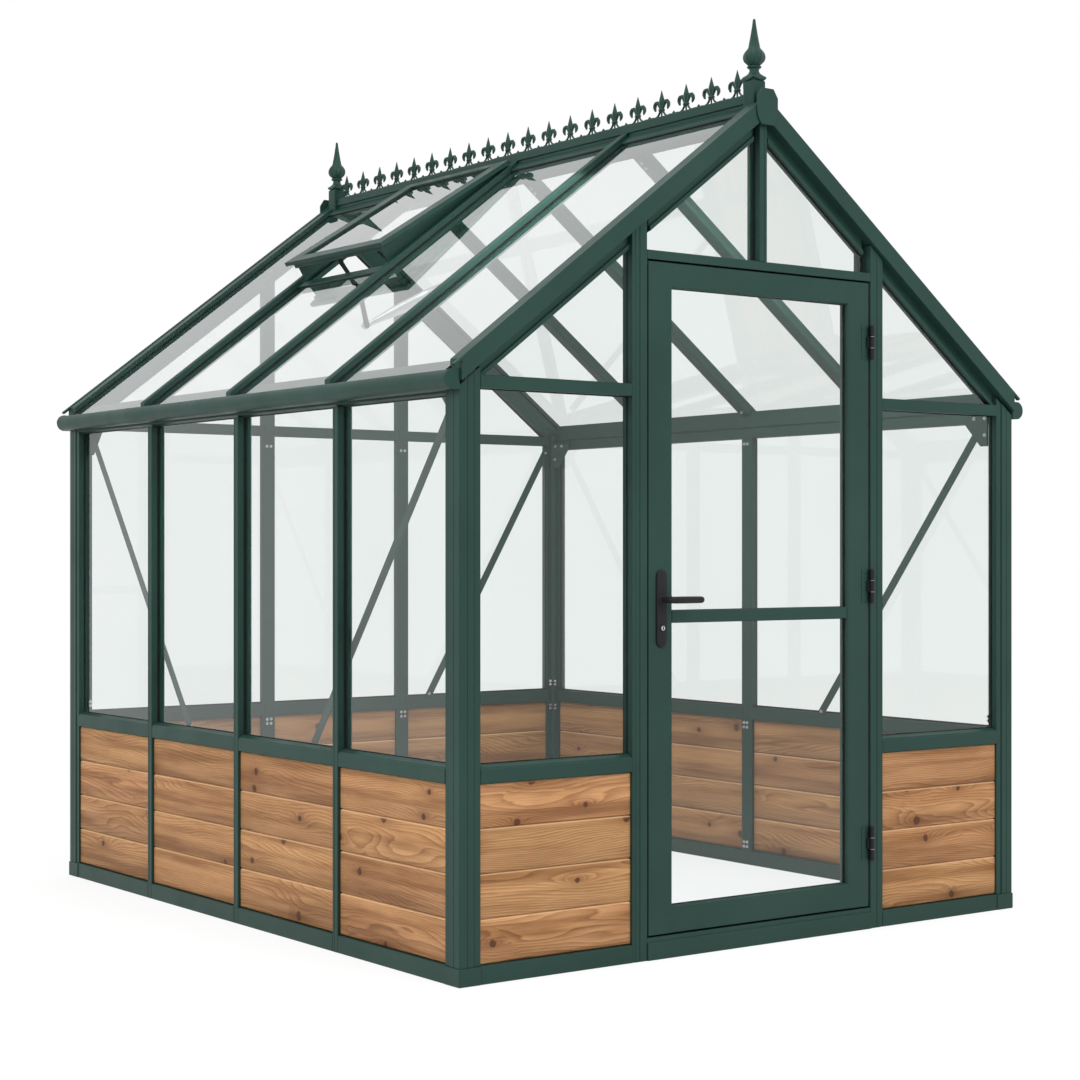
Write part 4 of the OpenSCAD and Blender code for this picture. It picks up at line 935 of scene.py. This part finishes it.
# %% [markdown]
# The vent is pushed open by a wax cylinder: warmth swells the wax, the cylinder drives a lever, and
# the vent lifts with no motor. Two black arms turn on one knuckle under the vent's sill bar. The
# lower one ends in a pale bracket that holds the cylinder, whose barrel swells towards the middle.

# %% Vent opener
arms = sorted(solids("vent_opener_arms"), key=lambda item: item[1].z)
lower, upper = arms[0], arms[-1]
pivot = Vector((lower[0].x + 0.015, 0, lower[1].z - 0.015))
elbow = Vector((lower[1].x - 0.015, 0, lower[0].z + 0.015))
rail = Vector((upper[0].x + 0.011, 0, upper[1].z - 0.011))
low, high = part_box("vent_opener_cylinder")
middle_y = (low.y + high.y) / 2
tube = solids("vent_opener_cylinder")[0][2]
reach = max((p - elbow).xz.length for p in tube)
far_points = [p for p in tube if (p - elbow).xz.length > reach - 0.004]
far = sum(far_points, Vector()) / len(far_points)
along_y = Vector((0, 1, 0))

build = bmesh.new()
for start, end, y, wide in ((pivot, elbow, (lower[0].y + lower[1].y) / 2, 0.011),
                            (pivot, rail, (upper[0].y + upper[1].y) / 2, 0.0095)):
    run = end - start
    path = [start - run * 0.10, start - run * 0.07] + [start + run * s for s in (0, 0.25, 0.5, 0.75, 1.0)]
    path += [end + run.normalized() * 0.008]
    path = [Vector((p.x, y, p.z)) for p in path]
    swept(build, path, [(wide * s, 0.003) for s in (0.55, 0.95, 1.15, 1, 0.92, 0.92, 1.05, 0.6)], along_y, 12)
    for spot in (start, end):
        turned(build, (spot.x, y - 0.006, spot.z), (0, 1, 0), [(0, 0.008), (0.001, 0.009), (0.011, 0.009), (0.012, 0.008)], 16)
ball = Vector((rail.x, (upper[0].y + upper[1].y) / 2, rail.z))
turned(build, ball + Vector((0, -0.012, 0)), (0, 1, 0),
       [(0, 0.003), (0.003, 0.008), (0.008, 0.011), (0.013, 0.011), (0.018, 0.008), (0.021, 0.003)], 16)
piece("opener_arms", softened(mesh_from(build), 35), "frame", "black_hardware", "vent_opener_arms")

build = bmesh.new()
start = Vector((elbow.x, middle_y, elbow.z))
finish_at = Vector((far.x, middle_y, far.z))
run = (finish_at - start).length
turned(build, start, finish_at - start, [(run * s, r / 1000) for s, r in (
    (0.0, 4), (0.012, 7), (0.05, 9), (0.10, 9.5), (0.20, 12), (0.32, 17), (0.45, 20.5), (0.60, 21), (0.74, 21),
    (0.745, 22), (0.80, 22), (0.805, 20.5), (0.93, 20), (0.975, 18.5), (0.995, 12))], 32)
piece("opener_cylinder", softened(mesh_from(build), 35), "frame", "opener_aluminium", "vent_opener_cylinder")
build = bmesh.new()
turned(build, start + Vector((0, -0.015, 0)), (0, 1, 0),
       [(0, 0.006), (0.001, 0.0085), (0.011, 0.0125), (0.019, 0.0125), (0.029, 0.0085), (0.030, 0.006)], 20)
piece("opener_bracket", softened(mesh_from(build), 35), "frame", "plated_steel", "vent_opener_cylinder")

# %% [markdown]
# The lock's backplates are long rounded castings with a screw at each end and a round rose where
# the lever comes through. Below the lever sits a lock: a black surround with a bright plug. Its key
# slot is not cut; a thin black piece on the plug is painted shade for the dark inside of the slot.
# Both faces of the door have the same furniture.

# %% Door furniture
def slot_ring(centre, half_length, radius, y, count=10):
    """The outline of a long plate with round ends, standing upright in the plane of the door."""
    ring = []
    for end in (1, -1):
        for k in range(count + 1):
            a = math.pi * k / count + (0 if end > 0 else math.pi)
            ring.append(Vector((centre.x + radius * math.cos(a), y,
                                centre.z + end * (half_length - radius) + radius * math.sin(a))))
    return ring


lock_low, lock_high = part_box("lock_cylinder")
lever_low, lever_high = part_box("door_lever")
joints = {row["name"]: row for row in frame["record"]["behaviour"]["joints"]}
spindle = Vector(joints["lever_turn"]["pos_m"])
lock_at = (lock_low + lock_high) / 2
black, bright, painted_slot_shade = bmesh.new(), bmesh.new(), bmesh.new()
plate_faces = []
for low, high, _ in solids("handle_plates"):
    centre = (low + high) / 2
    outward = -1 if centre.y < lock_at.y else 1
    foot, face = (high.y, low.y) if outward < 0 else (low.y, high.y)
    plate_faces.append((outward, face))
    long, wide = (high.z - low.z) / 2, (high.x - low.x) / 2 + 0.002
    loft(black, [slot_ring(centre, long - d, wide - d, foot + outward * t) for t, d in (
        (0, 0.0004), (0.0008, 0), (0.0048, 0), (0.0062, 0.0010), (0.0072, 0.0026), (0.0076, 0.0045))])
    turned(black, (spindle.x, face - outward * 0.004, spindle.z), (0, outward, 0),
           [(0, 0.0165), (0.006, 0.0165), (0.0074, 0.0155), (0.008, 0.0125), (0.0105, 0.0120), (0.011, 0.0105)], 32)
    turned(black, (lock_at.x, face - outward * 0.003, lock_at.z), (0, outward, 0),
           [(0, 0.0118), (0.0035, 0.0118), (0.0048, 0.0104), (0.0050, 0.0088)], 32)
    turned(bright, (lock_at.x, face - outward * 0.002, lock_at.z), (0, outward, 0),
           [(0, 0.0068), (0.0044, 0.0068), (0.0048, 0.0062), (0.0048, 0.0030)], 24)
    for end in (-1, 1):
        turned(black, (centre.x, face - outward * 0.0015, centre.z + end * (long - 0.0135)), (0, outward, 0),
               [(0, 0.0036), (0.0014, 0.0036), (0.0022, 0.0028), (0.0026, 0.0014)], 16)
    # painted shade: a thin black piece on the plug's face stands for the dark inside of the key slot
    y0 = face + outward * 0.0020
    loft(painted_slot_shade, [[Vector((lock_at.x + x * 0.0018, y, lock_at.z + z * 0.0050))
                      for x, z in ((-1, -1), (1, -1), (1.4, 0.4), (1, 1), (-1, 1), (-1.4, 0.4))]
                     for y in (y0, face + outward * 0.0030)])
piece("backplates", softened(mesh_from(black), 32), "door", "black_hardware", "handle_plates", "lock_cylinder")
piece("lock_plugs", softened(mesh_from(bright), 32), "door", "plated_steel", "lock_cylinder")
# the key slot's black rubber is painted shade, not a part of the lock
piece("key_slots", mesh_from(painted_slot_shade), "door", "black_rubber", "lock_cylinder")

# %% [markdown]
# The lever is a round bar bent through a right angle, a little slimmer at its bent neck, with a
# rounded end. It could be two straight rods, but the bend is where a hand slides on, and its
# highlight is the first thing seen on the door.

# %% Lever
build = bmesh.new()
radius = (lever_high.z - lever_low.z) / 2
for outward, face in plate_faces:
    out_y = lever_low.y + radius + 0.0002 if outward < 0 else lever_high.y - radius - 0.0002
    bend = 0.017
    path = [Vector((spindle.x, face - outward * 0.001, spindle.z)), Vector((spindle.x, face + outward * 0.010, spindle.z))]
    sizes = [0.96, 0.90]
    for k in range(9):
        a = math.radians(90 * k / 8)
        path.append(Vector((spindle.x + bend * (1 - math.cos(a)), out_y - outward * bend * (1 - math.sin(a)), spindle.z)))
        sizes.append(0.90 + 0.10 * k / 8)
    length = lever_high.x - path[-1].x
    for share, size in ((0.30, 1), (0.60, 0.98), (0.88, 0.96), (0.94, 0.92), (0.975, 0.76), (0.993, 0.48), (1.0, 0.12)):
        path.append(Vector((path[10].x + length * share, out_y, spindle.z)))
        sizes.append(size)
    swept(build, path, [(radius * s, radius * s) for s in sizes], (0, 0, 1), 20)
loft(build, [[Vector((spindle.x + 0.004 * x, y, spindle.z + 0.004 * z)) for x, z in ((-1, -1), (1, -1), (1, 1), (-1, 1))]
             for y in sorted(face for _, face in plate_faces)])
piece("levers", softened(mesh_from(build), 35), "lever", "black_hardware", "door_lever")

# %% [markdown]
# Each hinge has three black knuckles on one pin, with thin bright washers between them. The leaf's
# own knuckle is joined to a slim green plate that lies flat on the door's stile, held by four
# coated screws. The knuckles have eased ends, so each reads as a separate barrel.

# %% Hinges
hinge = joints["door_hinge"]["pos_m"]
barrels, jamb = bmesh.new(), bmesh.new()
jamb_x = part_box("hinges_frame_side")[1].x - 0.006
washers = []
leaf_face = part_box("door_stiles")[0].y
plates = bmesh.new()
screws = []
knuckle_z = []
for low, high, _ in solids("hinges_leaf_side"):
    if high.z - low.z > 0.09:
        knuckle_z.append((low.z, high.z))
for z0, z1 in sorted(set((round(a, 5), round(b, 5)) for a, b in knuckle_z)):
    third = (z1 - z0 - 0.002) / 3
    foot = z0 + third + 0.001
    rounded = [(0, 0.0064), (0.0010, 0.0076), (third - 0.0010, 0.0076), (third, 0.0064)]
    turned(barrels, (hinge[0], hinge[1], foot), (0, 0, 1), rounded, 24)
    turned(jamb, (hinge[0], hinge[1], z0 + 0.0002), (0, 0, 1), [(0, 0.003), (z1 - z0 - 0.0004, 0.003)], 12)
    for start in (z0, foot + third + 0.001):
        turned(jamb, (hinge[0], hinge[1], start), (0, 0, 1), rounded, 24)
        loft(jamb, [[Vector((x, y, z)) for x, y in ((jamb_x - 0.0015, hinge[1]), (jamb_x, hinge[1]),
                                                    (jamb_x, hinge[1] + 0.036), (jamb_x - 0.0015, hinge[1] + 0.036))]
                    for z in (start + 0.0005, start + third - 0.0005)])
    x0, x1 = hinge[0] - 0.015, hinge[0] - 0.004
    loft(barrels, [[Vector((x0, y, z)) for y, z in ((hinge[1] + 0.0045, foot + 0.001), (leaf_face + 0.0002, foot + 0.001),
                                                    (leaf_face + 0.0002, foot + third - 0.001),
                                                    (hinge[1] + 0.0045, foot + third - 0.001))],
                   [Vector((x1, y, z)) for y, z in ((hinge[1] + 0.0045, foot + 0.001), (leaf_face + 0.0002, foot + 0.001),
                                                    (leaf_face + 0.0002, foot + third - 0.001),
                                                    (hinge[1] + 0.0045, foot + third - 0.001))]])
    washers += [(Vector((hinge[0], hinge[1], foot - 0.0009)), up), (Vector((hinge[0], hinge[1], foot + third + 0.0001)), up)]
    corners = [Vector((x, leaf_face, z)) for x, z in ((hinge[0] - 0.034, z0), (hinge[0] - 0.012, z0),
                                                      (hinge[0] - 0.012, z1), (hinge[0] - 0.034, z1))]
    plate(plates, corners, Vector((0, -0.0016, 0)))
    screws += [(Vector((hinge[0] - 0.024, leaf_face - 0.0016, z)), Vector((0, -1, 0)))
               for z in (z0 + 0.012, z0 + 0.038, z1 - 0.038, z1 - 0.012)]
piece("leaf_knuckles", softened(mesh_from(barrels), 30), "door", "black_hardware", "hinges_leaf_side")
piece("jamb_knuckles", softened(mesh_from(jamb), 30), "frame", "black_hardware", "hinges_frame_side")
piece("leaf_hinge_plates", softened(mesh_from(plates), 12), "door", "green_powder_coat", "hinges_leaf_side")

build = bmesh.new()
turned(build, (0, 0, 0), (0, 0, 1), [(0, 0.0079), (0.0008, 0.0079)], 24)
washer_mesh = mesh_from(build)
build = bmesh.new()
turned(build, (0, 0, 0), (0, 0, 1), [(0, 0.0038), (0.0006, 0.0038), (0.0014, 0.0028), (0.0017, 0.0012)], 12)
screw_mesh = mesh_from(build)
piece("hinge_washers", softened(set_out(washer_mesh, washers, "plated_steel"), 30), "frame", "plated_steel")
piece("hinge_screws", softened(set_out(screw_mesh, screws, "green_powder_coat"), 30), "door", "green_powder_coat")

# %% [markdown]
# A soft black seal is pushed into the door's frame, on the stop, all the way up both posts and
# across the head. It shows as a dark line round the closed door and keeps the draught out.

# %% Door seal
stile_low, stile_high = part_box("door_stiles")
posts_low, posts_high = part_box("door_posts")
transom_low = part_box("door_transom")[0].z
seal_y = stile_high.y + 0.0018
seal_x = stile_high.x + 0.0012
paths = [[Vector((-seal_x, seal_y, posts_low.z + 0.02)), Vector((-seal_x, seal_y, transom_low + 0.001)),
          Vector((seal_x, seal_y, transom_low + 0.001)), Vector((seal_x, seal_y, posts_low.z + 0.02))]]
build = bmesh.new()
gap_y = (stile_low.y + 0.0012, stile_high.y)
for x0, x1 in ((-stile_high.x - 0.007, -stile_high.x - 0.0022), (stile_high.x + 0.0008, stile_high.x + 0.007)):
    loft(build, [[Vector((x, y, z)) for x, y in ((x0, gap_y[0] + 0.001), (x0, gap_y[1]), (x1, gap_y[1]),
                                                 (x1, gap_y[0] + 0.001), ((x0 + x1) / 2, gap_y[0]))]
                 for z in (stile_low.z + 0.014, transom_low)])
loft(build, [[Vector((x, y, z)) for y, z in ((gap_y[0] + 0.001, stile_high.z + 0.0012), (gap_y[1], stile_high.z + 0.0012),
                                             (gap_y[1], transom_low), (gap_y[0] + 0.001, transom_low),
                                             (gap_y[0], (stile_high.z + transom_low) / 2))]
             for x in (-stile_high.x - 0.004, stile_high.x + 0.004)])
piece("gap_seal", mesh_from(build), "frame", "black_rubber")
piece("door_seal", softened(grown(bead_tree, wires(paths), "black_rubber", Radius=0.0030, Sides=8), 50), "frame",
      "black_rubber")

# %% [markdown]
# A studio for a building: one broad soft light on each visible side, high up, so that the upper
# bars are a little paler than the lower ones, and an even sky. The sky is white wherever it is
# looked at or mirrored, and dimmer as a lamp, so colours come out about as they are written. A
# weak light inside brings out the far walls, and a broad one overhead draws thin bright lines along
# the edges that face up.

# %% Light and floor
world = bpy.data.worlds.new("sky")
scene.world = world
world.use_nodes = True
tree = world.node_tree
tree.nodes.clear()


def shown(tree):
    """1 where a surface is looked at, mirrored or seen through glass, else 0."""
    path = add(tree, "ShaderNodeLightPath").outputs
    total = maths(tree, "ADD", path["Is Camera Ray"], path["Is Glossy Ray"])
    return maths(tree, "MINIMUM", maths(tree, "ADD", total, path["Is Transmission Ray"]), 1.0)


lamp = add(tree, "ShaderNodeBackground", ("Color", (0.97, 0.985, 1.0, 1)), ("Strength", 0.62))
backdrop = add(tree, "ShaderNodeBackground", ("Color", (1, 1, 1, 1)), ("Strength", 1.0))
mixed = add(tree, "ShaderNodeMixShader", (0, shown(tree)), (1, lamp.outputs[0]), (2, backdrop.outputs[0]))
add(tree, "ShaderNodeOutputWorld", ("Surface", mixed.outputs[0]))

material = bpy.data.materials.new("floor")
material.use_nodes = True
tree = material.node_tree
tree.nodes.clear()
where = add(tree, "ShaderNodeTexCoord").outputs["Object"]
far = add(tree, "ShaderNodeVectorMath", (0, where), operation="LENGTH").outputs["Value"]
edge = add(tree, "ShaderNodeMapRange", ("Value", far), ("From Min", 2.5), ("From Max", 7.0),
           ("To Min", 0.80), ("To Max", 1.0)).outputs[0]
matt = add(tree, "ShaderNodeBsdfDiffuse", ("Color", (0.86, 0.86, 0.86, 1)))
white = add(tree, "ShaderNodeEmission", ("Color", (1, 1, 1, 1)), ("Strength", 1.0))
mixed = add(tree, "ShaderNodeMixShader", (0, maths(tree, "MULTIPLY", edge, shown(tree))), (1, matt.outputs[0]),
            (2, white.outputs[0]))
add(tree, "ShaderNodeOutputMaterial", ("Surface", mixed.outputs[0]))

build = bmesh.new()
bmesh.ops.create_circle(build, cap_ends=True, segments=96, radius=30)
floor_mesh = bpy.data.meshes.new("floor")
build.to_mesh(floor_mesh)
build.free()
floor_mesh.materials.append(material)
floor = bpy.data.objects.new("floor", floor_mesh)
floor.location.z = cad_box[0][2] - 0.0005
scene.collection.objects.link(floor)


def softbox(name, where, target, size, power, mirrored=False):
    data = bpy.data.lights.new(name, "AREA")
    data.shape = "RECTANGLE"
    data.size, data.size_y = size
    data.energy = power
    obj = bpy.data.objects.new(name, data)
    obj.location = where
    obj.rotation_euler = (Vector(target) - Vector(where)).to_track_quat("-Z", "Y").to_euler()
    obj.visible_camera = obj.visible_glossy = obj.visible_transmission = mirrored
    scene.collection.objects.link(obj)


softbox("gable light", (1.5, -7.0, 4.6), (0, -1.2, 1.2), (5, 3), 330)
softbox("side light", (-7.0, -0.8, 4.6), (-1.1, 0, 1.2), (5, 3), 330)
softbox("top light", (-2.4, -2.4, 6.5), (0, 0, 1.5), (6, 6), 190, mirrored=True)
softbox("inside light", (0.0, -0.9, 2.1), (0.3, 1.3, 0.4), (1.6, 0.8), 22)
softbox("back light", (2.5, 7.5, 4.6), (0, 1.2, 1.2), (5, 3), 150)
softbox("right light", (7.0, 0.8, 4.6), (1.1, 0, 1.2), (5, 3), 150)

# %% [markdown]
# Colours are shown as they are, with no film look.

# %% Finish
scene.view_settings.view_transform = "Standard"
